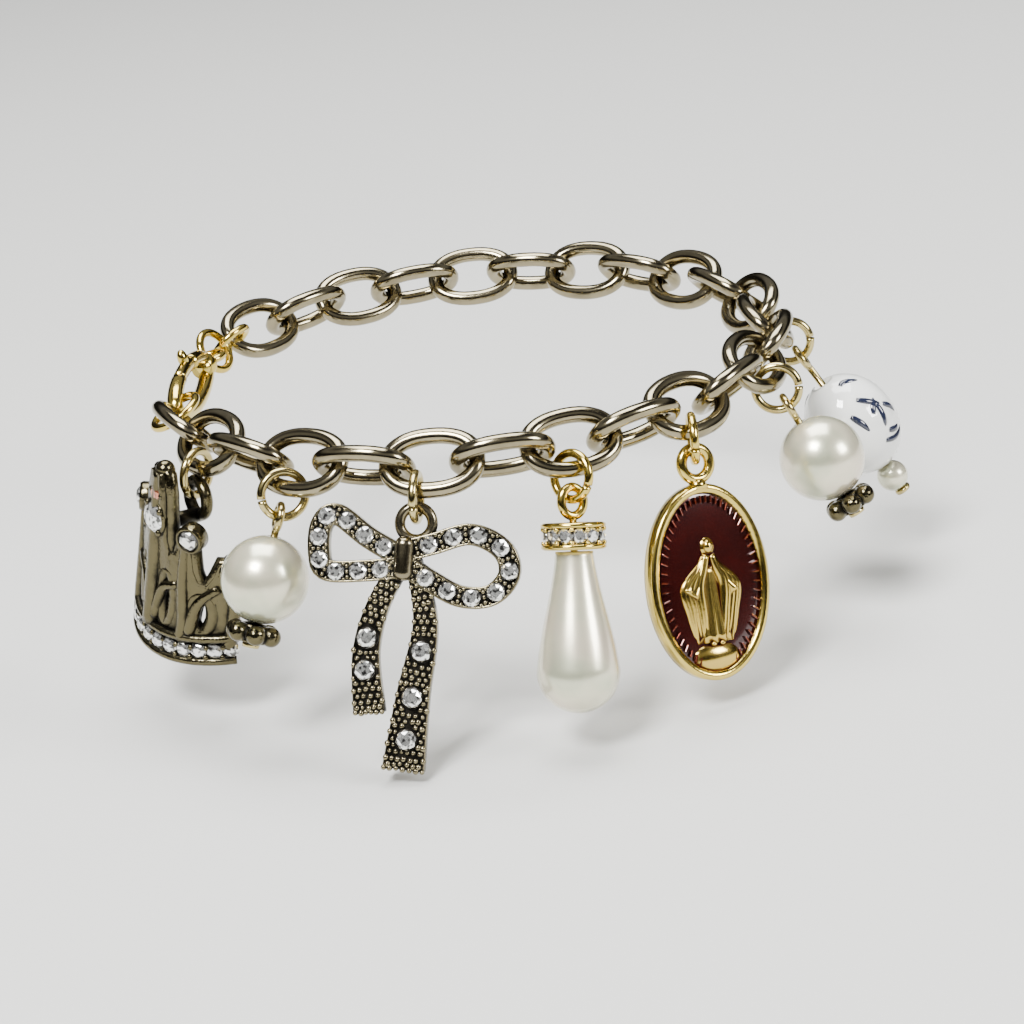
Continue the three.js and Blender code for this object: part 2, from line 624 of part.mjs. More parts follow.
/** The robed figure on its mound, standing out from the XZ plane towards -Y; grow widens it all round. */
function figureRelief(relief, grow = 0) {
  const cloth = (topWidth, hemWidth, height, x, z, lean = 0) => {
    const top = topWidth / 2 + grow;
    const hem = hemWidth / 2 + grow;
    const cone = new THREE.CylinderGeometry(top, hem, height + 2 * grow, HEAD_SIDES);
    const flatten = new THREE.Matrix4().makeScale(1, relief / hem, 1);
    return solid(cone, placed(x, 0, z, 0, lean).multiply(flatten).multiply(placed(0, 0, 0, 90)));
  };
  const base = -MEDAL_HEIGHT / 2 + MEDAL_RIM + MOUND_SINK;
  const top = base + FIGURE_HEIGHT;
  const shoulder = top - HEAD - CLOAK_LENGTH / 2;
  const sleeveAt = shoulder - SLEEVE_LENGTH / 2;
  const head = new THREE.SphereGeometry(HEAD / 2 + grow, HEAD_SIDES, PIN_SIDES);
  const mound = new THREE.SphereGeometry(1 / 2, EYE_SIDES, PIN_SIDES);
  const moundSize = new THREE.Matrix4().makeScale(
    MOUND_WIDTH + 2 * grow,
    2 * relief,
    MOUND_HEIGHT + 2 * grow,
  );
  return fuse([
    cloth(ROBE_SHOULDERS, ROBE_HEM, ROBE_LENGTH, 0, shoulder - ROBE_LENGTH / 2),
    cloth(CLOAK_TOP, CLOAK_HEM, CLOAK_LENGTH, 0, shoulder),
    cloth(SLEEVE_TOP, SLEEVE_HEM, SLEEVE_LENGTH, -SLEEVE_OUT, sleeveAt, SLEEVE_LEAN_DEG),
    cloth(SLEEVE_TOP, SLEEVE_HEM, SLEEVE_LENGTH, SLEEVE_OUT, sleeveAt, -SLEEVE_LEAN_DEG),
    solid(head, placed(0, 0, top - HEAD / 2)),
    solid(mound, moundSize.setPosition(0, 0, base)),
  ]);
}

function buildMedalCharm(spec) {
  const group = hang(spec, MEDAL_BAIL_OUTER / 2 - MEDAL_BAIL_WIRE);
  const half = MEDAL_THICKNESS / 2;
  const floor = -half + MEDAL_RECESS;
  const bailLift = (MEDAL_BAIL_OUTER - MEDAL_BAIL_WIRE) / 2;
  const drop = MEDAL_BAIL_OUTER / 2 + MEDAL_HEIGHT / 2 - 2 * SINK;
  const innerWidth = MEDAL_WIDTH - 2 * MEDAL_RIM;
  const innerHeight = MEDAL_HEIGHT - 2 * MEDAL_RIM;
  const plate = ovalPlate(MEDAL_WIDTH, MEDAL_HEIGHT, -half, half);
  const recess = ovalPlate(innerWidth, innerHeight, -MEDAL_THICKNESS, floor);
  const field = ovalPlate(innerWidth - SINK, innerHeight - SINK, -2 * MEDAL_THICKNESS, half);
  const relief = figureRelief(FIGURE_RELIEF).intersect(field);
  const raised = relief.transform(placed(0, floor, 0).elements).intersect(field);
  const body = fuse([plate.subtract(recess), raised]).transform(placed(0, 0, -drop).elements);
  const shoulderHeight = MEDAL_BAIL_WIRE / 2 + MEDAL_RIM / 2;
  const shoulders = new THREE.CylinderGeometry(
    MEDAL_NECK / 2, MEDAL_NECK_FOOT / 2, shoulderHeight, PIN_SIDES,
  );
  const bail = fuse([
    solid(wireRing(MEDAL_BAIL_OUTER, MEDAL_BAIL_WIRE, EYE_SIDES)),
    solid(shoulders, placed(0, 0, -bailLift - shoulderHeight / 2, 90)),
  ]);
  addMesh(group, spec.name, geometryOf(body.add(bail)), GOLD);
  const sheetFront = floor - GAP / 2 - ENAMEL_THICKNESS;
  const sheet = ovalPlate(innerWidth - 2 * GAP, innerHeight - 2 * GAP, sheetFront, floor - GAP / 2);
  const cutter = figureRelief(FIGURE_RELIEF * 2, ENAMEL_GAP).transform(placed(0, floor, 0).elements);
  const enamel = sheet.subtract(cutter).decompose().sort((a, b) => b.volume() - a.volume())[0];
  const sheetMesh = addMesh(group, `${spec.name}_enamel`, geometryOf(enamel), RED_ENAMEL);
  sheetMesh.position.z = -drop;
}

// The crown's upper edge and its windows, as shares of its half width and of the named height.
const CROWN_EDGE = [
  { out: 0.98, height: CROWN_SIDE_HEIGHT },
  { out: 0.86, height: CROWN_SIDE_HEIGHT },
  { out: 0.8, height: CROWN_SIDE_HEIGHT * 0.78 },
  { out: 0.7, height: CROWN_SIDE_HEIGHT * 0.8 },
  { out: 0.64, height: CROWN_MID_HEIGHT },
  { out: 0.46, height: CROWN_MID_HEIGHT },
  { out: 0.4, height: CROWN_MID_HEIGHT * 0.82 },
  { out: 0.28, height: CROWN_MID_HEIGHT * 0.84 },
  { out: 0.2, height: CROWN_TOP_HEIGHT * 0.9 },
  { out: 0.12, height: CROWN_TOP_HEIGHT },
];
const CROWN_WINDOWS = [
  { out: 0.3, height: 0.5, halfWidth: 0.08, halfHeight: 0.13 },
  { out: 0.78, height: 0.46, halfWidth: 0.08, halfHeight: 0.14 },
];

/** The crown's outline seen from the front, in the XY plane, with its windows. */
function crownOutline() {
  const edge = 2 * CROWN_RADIUS;
  const side = CROWN_RADIUS * Math.sin(radians(CROWN_SPREAD_DEG));
  const shape = new THREE.Shape();
  shape.moveTo(-edge, CROWN_SAG);
  shape.quadraticCurveTo(0, -CROWN_SAG, edge, CROWN_SAG);
  shape.lineTo(edge, CROWN_SIDE_HEIGHT);
  for (const { out, height } of CROWN_EDGE) shape.lineTo(side * out, height);
  for (const { out, height } of [...CROWN_EDGE].reverse()) shape.lineTo(-side * out, height);
  shape.lineTo(-edge, CROWN_SIDE_HEIGHT);
  for (const { out, height, halfWidth, halfHeight } of CROWN_WINDOWS) {
    for (const sign of [1, -1]) {
      const hole = new THREE.Path();
      const z = CROWN_SIDE_HEIGHT * height;
      const tall = CROWN_SIDE_HEIGHT * halfHeight;
      hole.absellipse(sign * side * out, z, side * halfWidth, tall, 0, 2 * Math.PI, true);
      shape.holes.push(hole);
    }
  }
  return shape;
}

/** A curved wall, part of a pipe about the Z axis, between two radii and two heights. */
function curvedWall(inner, outer, low, high, spreadDeg) {
  const shape = new THREE.Shape();
  const from = radians(-90 - spreadDeg);
  const to = radians(-90 + spreadDeg);
  shape.absarc(0, 0, outer, from, to, false);
  shape.absarc(0, 0, inner, to, from, true);
  const wall = { depth: high - low, bevelEnabled: false, curveSegments: 10 };
  return solid(new THREE.ExtrudeGeometry(shape, wall), placed(0, 0, low));
}

function buildCrownCharm(spec) {
  const group = hang(spec, CROWN_BAIL_OUTER / 2 - CROWN_BAIL_WIRE);
  const inner = CROWN_RADIUS - CROWN_WALL;
  const top = CROWN_TOP_HEIGHT + CROWN_WALL;
  const reach = 2 * CROWN_RADIUS;
  const cutting = { depth: reach, bevelEnabled: false, curveSegments: 6 };
  const outline = new THREE.ExtrudeGeometry(crownOutline(), cutting);
  const silhouette = solid(outline, placed(0, 0, 0, 90));
  const wall = curvedWall(inner, CROWN_RADIUS, -CROWN_SAG, top, CROWN_SPREAD_DEG);
  const pieces = [wall.intersect(silhouette)];
  const bandOuter = CROWN_RADIUS + CROWN_BAND_SWELL;
  const bandTop = CROWN_BAND_HEIGHT + CROWN_SAG;
  const band = curvedWall(inner, bandOuter, -CROWN_SAG, bandTop, CROWN_SPREAD_DEG);
  const bandShape = new THREE.Shape();
  bandShape.moveTo(-reach, CROWN_SAG * 2);
  bandShape.quadraticCurveTo(0, -CROWN_SAG * 2, reach, CROWN_SAG * 2);
  bandShape.lineTo(reach, CROWN_SAG * 2 + CROWN_BAND_HEIGHT);
  const bandEdge = CROWN_SAG * 2 + CROWN_BAND_HEIGHT;
  bandShape.quadraticCurveTo(0, CROWN_BAND_HEIGHT - CROWN_SAG * 2, -reach, bandEdge);
  pieces.push(band.intersect(solid(new THREE.ExtrudeGeometry(bandShape, cutting), placed(0, 0, 0, 90))));
  const onWall = (deg, height, radius) => placed(
    radius * Math.sin(radians(deg)), -radius * Math.cos(radians(deg)), height, 0, 0, deg,
  );
  for (let i = 0; i < CROWN_STONES; i += 1) {
    const deg = CROWN_STONE_SPREAD_DEG * ((2 * i) / (CROWN_STONES - 1) - 1);
    const height = CROWN_BAND_HEIGHT / 2 + CROWN_SAG * Math.sin(radians(deg)) ** 2;
    pieces.push(cutStone(CROWN_STONE).transform(onWall(deg, height, bandOuter - SINK).elements));
  }
  const ball = new THREE.SphereGeometry(CROWN_BALL / 2, PIN_SIDES, WIRE_SIDES);
  const cup = new THREE.CylinderGeometry(CROWN_CUP / 2, CROWN_CUP / 2, CROWN_CUP_DEPTH, EYE_SIDES);
  const middle = CROWN_RADIUS - CROWN_WALL / 2;
  const cupStone = cutStone(CROWN_CUP_STONE).transform(placed(0, -CROWN_CUP_DEPTH / 2 + SINK, 0).elements);
  pieces.push(solid(ball, onWall(0, CROWN_TOP_HEIGHT, middle)));
  for (const sign of [1, -1]) {
    pieces.push(solid(ball, onWall(sign * CROWN_SIDE_DEG, CROWN_SIDE_HEIGHT, middle)));
    const seat = onWall(sign * CROWN_MID_DEG, CROWN_MID_HEIGHT, CROWN_RADIUS - CROWN_WALL / 4);
    pieces.push(solid(cup, seat), cupStone.transform(seat.elements));
  }
  const crest = cutStone(CROWN_CREST, CROWN_WALL);
  pieces.push(crest.transform(onWall(0, CROWN_CREST_HEIGHT, CROWN_RADIUS + 2 * SINK).elements));
  const crown = fuse(pieces).transform(placed(0, CROWN_RADIUS, -CROWN_BAIL_HEIGHT).elements);
  const bailLift = (CROWN_BAIL_OUTER - CROWN_BAIL_WIRE) / 2;
  const setBack = RING_OUTER / 2 + CROWN_WALL + 2 * GAP;
  const tilted = crown.transform(placed(0, -setBack, 0, 0, CROWN_TILT_DEG).elements);
  const postLength = setBack - CROWN_WALL / 2;
  const post = new THREE.CylinderGeometry(CROWN_POST / 2, CROWN_POST / 2, postLength, PIN_SIDES);
  const bail = fuse([
    solid(wireRing(CROWN_BAIL_OUTER, CROWN_BAIL_WIRE, EYE_SIDES)),
    solid(post, placed(0, -postLength / 2, -bailLift)),
  ]);
  addMesh(group, spec.name, geometryOf(tilted.add(bail)), ANTIQUE);
}

const CHARMS = [
  {
    name: "crown", build: buildCrownCharm, link: -4, slide: 0,
    leanOut: 5, leanAlong: -3, ringAxisDeg: -30, charmYDeg: 35,
  },
  {
    name: "pearl_left", build: buildPearlCharm, link: -2, slide: -1.0,
    leanOut: 25, leanAlong: -8, ringAxisDeg: -74, charmYDeg: 14,
  },
  {
    name: "bow", build: buildBowCharm, link: 0, slide: -1.45,
    leanOut: 21, leanAlong: -4.5, ringAxisDeg: -6, charmYDeg: 84,
  },
  {
    name: "teardrop", build: buildTeardropCharm, link: 2, slide: -0.9,
    leanOut: 18, leanAlong: -11, ringAxisDeg: 50, charmYDeg: -65,
  },
  {
    name: "medal", build: buildMedalCharm, link: 4, slide: -1.5,
    leanOut: 13, leanAlong: -13, ringAxisDeg: 3, charmYDeg: 116.5,
  },
  {
    name: "pearl_right", build: buildPearlCharm, link: 6, slide: -0.6,
    leanOut: 30, leanAlong: -3, ringAxisDeg: 88, charmYDeg: 0,
  },
  {
    name: "porcelain", build: buildPorcelainCharm, link: 8, slide: 0,
    leanOut: 31, leanAlong: -6, ringAxisDeg: 90, charmYDeg: 0,
  },
];

/** Adds a closing ring whose axis leans from level, centred at an angle round the loop. */
function closingRing(name, angleDeg, leanDeg, outer = RING_OUTER) {
  const holder = new THREE.Group();
  holder.position.copy(frameAt(angleDeg).centre);
  holder.rotation.z = radians(angleDeg);
  addMesh(holder, name, wireRing(outer, RING_WIRE), GOLD).rotation.x = radians(leanDeg);
  bracelet.add(holder);
}

/** The clasp and the rings that close the loop: the hook lies in its own plane, X towards the hook. */
function buildClasp() {
  const arcDeg = THREE.MathUtils.radToDeg(1 / LOOP_RADIUS);
  const ringInner = RING_OUTER / 2 - RING_WIRE;
  const hookInner = HOOK_RING_OUTER / 2 - RING_WIRE;
  const linkReach = LINK_LENGTH / 2 - LINK_WIRE - CLEARANCE;
  const hookRingAt = linkAngle(FIRST_LINK) - (linkReach + hookInner) * arcDeg;
  const lastLink = linkAngle(FIRST_LINK + LINK_COUNT - 1) - 360;
  const endRingAt = lastLink + (linkReach + ringInner) * arcDeg;
  const tailRingAt = endRingAt + (2 * ringInner - CLEARANCE) * arcDeg;
  const hookLean = -(LINK_TWIST_DEG + 90 - CLASP_ROLL_DEG) / 2;
  closingRing("hook_ring", hookRingAt, hookLean, HOOK_RING_OUTER);
  closingRing("end_ring", endRingAt, -LINK_TWIST_DEG);
  closingRing("tail_ring", tailRingAt, (LINK_TWIST_DEG + CLASP_ROLL_DEG) / 2);

  const hookEnd = hookInner - CLASP_CLEARANCE - HOOK_WIRE;
  const eyeEnd = ringInner - CLASP_CLEARANCE - CLASP_EYE_WIRE;
  const arc = (hookRingAt - tailRingAt) / arcDeg - hookEnd - eyeEnd;
  const claspAt = tailRingAt + (eyeEnd + arc / 2) * arcDeg;
  const halfTurn = arc / 2 / LOOP_RADIUS;
  const span = 2 * LOOP_RADIUS * Math.sin(halfTurn);
  const holder = new THREE.Group();
  holder.position.copy(frameAt(claspAt).centre).multiplyScalar(Math.cos(halfTurn));
  holder.rotation.z = radians(claspAt);
  const clasp = new THREE.Group();
  clasp.rotation.x = radians(90 + CLASP_ROLL_DEG);
  holder.add(clasp);
  bracelet.add(holder);

  const eyeOuterRadius = CLASP_EYE_OUTER / 2;
  const bodyLength = span - CLASP_EYE_OUTER + CLASP_EYE_WIRE;
  const bodyCentre = span / 2 - bodyLength / 2;
  const inset = new THREE.Shape();
  inset.absellipse(0, 0, bodyLength / 2, CLASP_WIDTH / 2, 0, 2 * Math.PI, false);
  const holeHalfLength = bodyLength / 2 - (HOOK_WIRE + CLASP_BAR) / 2;
  const holeCentre = (CLASP_BAR - HOOK_WIRE) / 2;
  const holeRadius = CLASP_WIDTH / 2 - CLASP_BAR;
  const bend = holeHalfLength - holeRadius;
  const round = new THREE.CylinderGeometry(holeRadius, holeRadius, 2 * CLASP_THICKNESS, RING_SIDES);
  const slot = fuse([
    solid(round, placed(bodyCentre + holeCentre - bend, 0, 0, 90)),
    solid(round, placed(bodyCentre + holeCentre + bend, 0, 0, 90)),
    solid(
      new THREE.BoxGeometry(2 * bend, 2 * holeRadius, 2 * CLASP_THICKNESS),
      placed(bodyCentre + holeCentre, 0, 0),
    ),
  ]);
  const hoop = new THREE.ExtrudeGeometry(inset, {
    depth: CLASP_THICKNESS - 2 * CLASP_ROUNDING,
    bevelThickness: CLASP_ROUNDING,
    bevelSize: CLASP_ROUNDING,
    bevelOffset: -CLASP_ROUNDING,
    bevelSegments: 1,
    curveSegments: 10,
  });
  const body = solid(hoop, placed(bodyCentre, 0, -CLASP_THICKNESS / 2 + CLASP_ROUNDING)).subtract(slot);
  const eyeAt = -span / 2 + eyeOuterRadius;
  const eye = wireRing(CLASP_EYE_OUTER, CLASP_EYE_WIRE, EYE_SIDES);
  const collar = new THREE.SphereGeometry(CLASP_COLLAR / 2, HEAD_SIDES, PIN_SIDES);
  const collarAt = eyeAt + (CLASP_EYE_OUTER - CLASP_EYE_WIRE + CLASP_COLLAR) / 2 - CLASP_ROUNDING;
  const gate = gateBox(bodyCentre, GAP);
  const frame = body.subtract(gate.cutter);
  addMesh(clasp, "clasp_body", geometryOf(fuse([
    frame,
    solid(eye, placed(eyeAt, 0, 0)),
    solid(collar, placed(collarAt, 0, 0)),
  ])), GOLD);
  addMesh(clasp, "clasp_lever", geometryOf(gate.lever(body)), GOLD);
}

/** The stretch of the hoop that the lever closes, with a gap all round, and its thumb tab. */
function gateBox(bodyCentre, gap) {
  const from = bodyCentre - LEVER_SETBACK;
  const to = from + LEVER_LENGTH;
  const side = CLASP_WIDTH / 2 - LEVER_BAR;
  const boxAt = (grow) => {
    const box = new THREE.BoxGeometry(to - from + 2 * grow, CLASP_WIDTH, CLASP_THICKNESS * 2);
    return solid(box, placed((from + to) / 2, side + CLASP_WIDTH / 2 - grow / 2, 0));
  };
  const lever = (body) => {
    const bar = body.intersect(boxAt(0));
    const thin = solid(new THREE.BoxGeometry(2 * LOOP_RADIUS, 2 * CLASP_WIDTH, LEVER_THICKNESS));
    const tab = new THREE.CylinderGeometry(TAB_TIP / 2, TAB_FOOT / 2, TAB_HEIGHT, PIN_SIDES);
    return fuse([bar.intersect(thin), solid(tab, placed(from + TAB_FOOT, CLASP_WIDTH / 2 + GAP, 0))]);
  };
  return { cutter: boxAt(gap), lever };
}

buildChain();
for (const spec of CHARMS) spec.build(spec);
buildClasp();

export default bracelet;
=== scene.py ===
"""A charm bracelet on an oval-link chain, dressed piece by piece over its CAD frame."""
import logging
import math
import random
from dataclasses import dataclass
from enum import Enum
from typing import Callable, Iterable, Sequence

import bmesh
import bpy
from mathutils import Matrix, Vector


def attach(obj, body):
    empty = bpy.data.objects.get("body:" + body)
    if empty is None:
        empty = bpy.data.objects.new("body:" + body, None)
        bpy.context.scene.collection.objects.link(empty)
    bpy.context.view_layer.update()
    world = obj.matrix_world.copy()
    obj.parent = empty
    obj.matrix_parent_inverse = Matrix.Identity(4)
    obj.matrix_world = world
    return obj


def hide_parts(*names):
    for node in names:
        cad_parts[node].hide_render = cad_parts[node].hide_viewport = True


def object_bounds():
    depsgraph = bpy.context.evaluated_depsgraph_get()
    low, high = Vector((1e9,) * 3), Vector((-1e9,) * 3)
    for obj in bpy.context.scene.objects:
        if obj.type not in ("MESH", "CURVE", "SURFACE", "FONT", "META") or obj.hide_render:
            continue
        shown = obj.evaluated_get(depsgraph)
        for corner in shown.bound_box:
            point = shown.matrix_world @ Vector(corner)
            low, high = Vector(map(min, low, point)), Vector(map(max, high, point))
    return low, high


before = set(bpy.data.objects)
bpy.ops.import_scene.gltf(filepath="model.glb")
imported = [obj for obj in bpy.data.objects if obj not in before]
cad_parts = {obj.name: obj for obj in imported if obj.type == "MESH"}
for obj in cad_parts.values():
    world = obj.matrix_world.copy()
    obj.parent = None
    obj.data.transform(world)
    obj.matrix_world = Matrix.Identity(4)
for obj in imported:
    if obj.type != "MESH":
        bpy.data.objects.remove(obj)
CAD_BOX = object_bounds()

log = logging.getLogger("bracelet")

MM = 0.001
TURN = 2 * math.pi

# Chain, jump rings and pins, in millimetres
LOOP_RADIUS = 30.03
LINK_PITCH = 6.5
LINK_COUNT = 25
FIRST_LINK = -5
FRONT_LINK_DEG = -5.9
LINK_LENGTH = 9.95
LINK_WIDTH = 7.0
LINK_WIRE = 1.55
LINK_TWIST_DEG = 45
FULLNESS = 2.25
RING_OUTER = 5.1
RING_WIRE = 0.85
CLEARANCE = 0.3
GAP = 0.3
LOOP_STEP_DEG = math.degrees(LINK_PITCH / LOOP_RADIUS)
EYE_OUTER = 3.0
EYE_WIRE = 0.75
PIN_STEM = 0.7
PIN_HEAD = 1.7

# Mesh making
MERGE = 1e-4
WIRE_SIDES = 14

Pair = tuple[float, float]
Colour = tuple[float, float, float, float]


class Body(Enum):
    """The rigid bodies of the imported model."""

    CHAIN = "chain"
    CROWN = "crown_drop"
    BOW = "bow_drop"
    TEARDROP = "teardrop_drop"
    MEDAL = "medal_drop"
    LEVER = "lever"


# Shader maths


class Value:
    """A node socket on which arithmetic adds Math nodes."""

    def __init__(self, tree: "Tree", socket: bpy.types.NodeSocket) -> None:
        """Keeps the socket and the tree that it belongs to."""
        self.tree = tree
        self.socket = socket

    def _math(self, operation: str, *operands: object, clamp: bool = False) -> "Value":
        """Adds one Math node.

        Args:
            operation: The Math node's operation.
            operands: Values or numbers, in the node's order.
            clamp: Whether the result is kept between 0 and 1.

        Returns:
            The node's result.
        """
        settings = {"operation": operation, "use_clamp": clamp}
        return self.tree.node("ShaderNodeMath", settings, dict(enumerate(operands)))

    def __add__(self, other: object) -> "Value":
        """Sum."""
        return self._math("ADD", self, other)

    def __radd__(self, other: object) -> "Value":
        """Sum, reflected."""
        return self._math("ADD", other, self)

    def __sub__(self, other: object) -> "Value":
        """Difference."""
        return self._math("SUBTRACT", self, other)

    def __rsub__(self, other: object) -> "Value":
        """Difference, reflected."""
        return self._math("SUBTRACT", other, self)

    def __mul__(self, other: object) -> "Value":
        """Product."""
        return self._math("MULTIPLY", self, other)

    def __rmul__(self, other: object) -> "Value":
        """Product, reflected."""
        return self._math("MULTIPLY", other, self)

    def clamped(self) -> "Value":
        """The value kept between 0 and 1."""
        return self._math("ADD", self, 0.0, clamp=True)


class Tree:
    """A material's or a world's node tree, written from Python."""

    SHELTER_RAYS = 8

    def __init__(self, owner: bpy.types.ID) -> None:
        """Empties the owner's tree."""
        owner.use_nodes = True
        self.nodes = owner.node_tree.nodes
        self.links = owner.node_tree.links
        self.nodes.clear()

    def node(self, kind: str, settings: dict, inputs: dict, output: object = 0) -> Value:
        """Adds one node.

        Args:
            kind: The node's type.
            settings: Its properties, or a ramp's stops under "stops".
            inputs: Values, numbers or colours by socket name or number.
            output: The output that is returned, by name or number.

        Returns:
            The node's output.
        """
        made = self.nodes.new(kind)
        for key, setting in settings.items():
            if key == "stops":
                self._stops(made.color_ramp, setting)
            else:
                setattr(made, key, setting)
        for key, given in inputs.items():
            if isinstance(given, Value):
                self.links.new(given.socket, made.inputs[key])
            else:
                made.inputs[key].default_value = given
        return Value(self, made.outputs[output])

    @staticmethod
    def _stops(ramp: bpy.types.ColorRamp, stops: Sequence[tuple[float, Colour]]) -> None:
        """Sets a ramp's stops from pairs of place and colour."""
        while len(ramp.elements) < len(stops):
            ramp.elements.new(1.0)
        for element, (place, colour) in zip(ramp.elements, stops):
            element.position = place
            element.color = colour

    def mix(self, factor: object, first: object, second: object) -> Value:
        """Blends two colours.

        Args:
            factor: 0 gives the first and 1 the second.
            first: A colour or a Value.
            second: A colour or a Value.

        Returns:
            The blended colour.
        """
        settings = {"data_type": "RGBA", "blend_type": "MIX"}
        return self.node("ShaderNodeMix", settings, {0: factor, 6: first, 7: second}, 2)

    def place(self) -> Value:
        """The object coordinates of the shaded point, in metres."""
        return self.node("ShaderNodeTexCoord", {}, {}, "Object")

    def noise(self, scale: float, detail: float = 3.0, rough: float = 0.5) -> Value:
        """Cloudy noise on object coordinates, with scale in cycles a metre."""
        inputs = {"Vector": self.place(), "Scale": scale, "Detail": detail, "Roughness": rough}
        return self.node("ShaderNodeTexNoise", {}, inputs, 0)

    def ramp(self, factor: Value, *stops: tuple[float, Colour]) -> Value:
        """A colour ramp over a value."""
        return self.node("ShaderNodeValToRGB", {"stops": stops}, {0: factor})

    def shelter(self, reach_mm: float) -> Value:
        """How far the point is shut in by what is within reach: 0 in the open, 1 deep in a recess."""
        inputs = {"Distance": reach_mm * MM}
        settings = {"samples": self.SHELTER_RAYS, "only_local": True}
        return 1 - self.node("ShaderNodeAmbientOcclusion", settings, inputs, "AO")

    def bump(self, height: Value, strength: float, distance_mm: float) -> Value:
        """A normal from a height."""
        inputs = {"Strength": strength, "Distance": distance_mm * MM, "Height": height}
        return self.node("ShaderNodeBump", {}, inputs, "Normal")

    def surface(self, **inputs: object) -> None:
        """Ends the tree with a Principled shader.

        Args:
            inputs: Socket values, with _ for each space of a socket's name.
        """
        named = {name.replace("_", " "): given for name, given in inputs.items()}
        shader = self.node("ShaderNodeBsdfPrincipled", {}, named)
        self.end("ShaderNodeOutputMaterial", shader)

    def end(self, kind: str, shader: Value) -> None:
        """Links a shader to the tree's output node of that kind."""
        output = self.nodes.new(kind)
        self.links.new(shader.socket, output.inputs["Surface"])


@dataclass(frozen=True)
class Finish:
    """A surface finish, made into a material once."""

    name: str
    slot: str

    def build(self, tree: Tree) -> None:
        """Writes the finish's nodes."""
        raise NotImplementedError

    def material(self) -> bpy.types.Material:
        """The finish's material, made on first use."""
        found = bpy.data.materials.get(self.name)
        if found is None:
            found = bpy.data.materials.new(self.name)
            self.build(Tree(found))
        return found


@dataclass(frozen=True)
class PolishedMetal(Finish):
    """Plated, polished wire and castings, with slight tarnish in random patches and painted shade where
    pieces meet.
    """

    bright: Colour
    # painted shade: the dark of the metal's reflections
    shade: Colour
    roughness: float
    mottle: float = 0.77
    recess_mm: float = 0.5
    clear_of: float = 0.45
    painted_shade_share: float = 0.55
    cloud_scale: float = 420.0
    hairline_scale: float = 2600.0
    worn_rough: float = 0.18
    hairline_rough: float = 0.04

    def build(self, tree: Tree) -> None:
        """Bright metal mixed toward its painted shade colour, a little in random patches and more where
        pieces meet.
        """
        cloud = tree.noise(self.cloud_scale, 4.0)
        shut = tree.shelter(self.recess_mm)
        # painted shade: the shelter darkens the metal toward its shade colour where pieces meet; the cloud
        # adds random tarnish patches
        tarnish_and_painted_shade = ((cloud - self.clear_of) * self.mottle + shut * self.painted_shade_share).clamped()
        fine = tree.noise(self.hairline_scale, 2.0)
        tree.surface(
            Base_Color=tree.mix(tarnish_and_painted_shade, self.bright, self.shade),
            Metallic=1.0,
            Roughness=self.roughness + tarnish_and_painted_shade * self.worn_rough + fine * self.hairline_rough,
        )


@dataclass(frozen=True)
class AntiqueMetal(Finish):
    """Cast metal with bright rubbed edges and dark oxide in its recesses."""

    bright: Colour
    oxide: Colour
    roughness: float
    oxide_share: float = 1.5
    recess_mm: float = 1.1
    cast_mm: float = 0.07
    cast_scale: float = 700.0
    patchy: float = 0.35
    open_to: float = 0.12
    cast_strength: float = 0.4
    oxide_dull: float = 0.25
    oxide_rough: float = 0.3

    def build(self, tree: Tree) -> None:
        """Oxide gathers where the relief shuts the surface in."""
        shut = tree.shelter(self.recess_mm)
        cloud = tree.noise(self.cast_scale, 5.0, 0.6)
        dark = ((shut - self.open_to) * self.oxide_share + (cloud - 0.5) * self.patchy).clamped()
        tree.surface(
            Base_Color=tree.mix(dark, self.bright, self.oxide),
            Metallic=1.0 - dark * self.oxide_dull,
            Roughness=self.roughness + dark * self.oxide_rough,
            Normal=tree.bump(cloud, self.cast_strength, self.cast_mm),
        )


@dataclass(frozen=True)
class PearlLustre(Finish):
    """Nacre with a soft deep gloss and faint rose and green overtones."""

    body: Colour = (0.74, 0.7, 0.52, 1)
    rose: Colour = (0.76, 0.67, 0.52, 1)
    green: Colour = (0.58, 0.6, 0.43, 1)
    metallic: float = 0.62
    roughness: float = 0.27
    coat: float = 0.9
    coat_roughness: float = 0.08
    ior: float = 1.6
    drift_scale: float = 230.0
    pit_scale: float = 3000.0
    pit_mm: float = 0.03

    def build(self, tree: Tree) -> None:
        """Overtones drift over a half-metallic nacre under a clear coat."""
        drift = tree.noise(self.drift_scale, 2.0)
        overtone = tree.ramp(drift, (0.35, self.green), (0.52, self.body), (0.7, self.rose))
        pits = tree.noise(self.pit_scale, 2.0)
        tree.surface(
            Base_Color=overtone,
            Metallic=self.metallic,
            Roughness=self.roughness,
            Coat_Weight=self.coat,
            Coat_Roughness=self.coat_roughness,
            IOR=self.ior,
            Normal=tree.bump(pits, 0.1, self.pit_mm),
        )


@dataclass(frozen=True)
class Glaze(Finish):
    """Clear-glazed porcelain or painted strokes under the glaze."""

    colour: Colour = (0.8, 0.8, 0.77, 1)
    deep: Colour = (0.72, 0.73, 0.71, 1)
    roughness: float = 0.07
    coat: float = 0.8
    coat_roughness: float = 0.04
    pool_scale: float = 500.0

    def build(self, tree: Tree) -> None:
        """The colour pools slightly and the glaze stays smooth."""
        pool = tree.noise(self.pool_scale, 3.0)
        tree.surface(
            Base_Color=tree.mix(pool, self.colour, self.deep),
            Roughness=self.roughness,
            Coat_Weight=self.coat,
            Coat_Roughness=self.coat_roughness,
        )


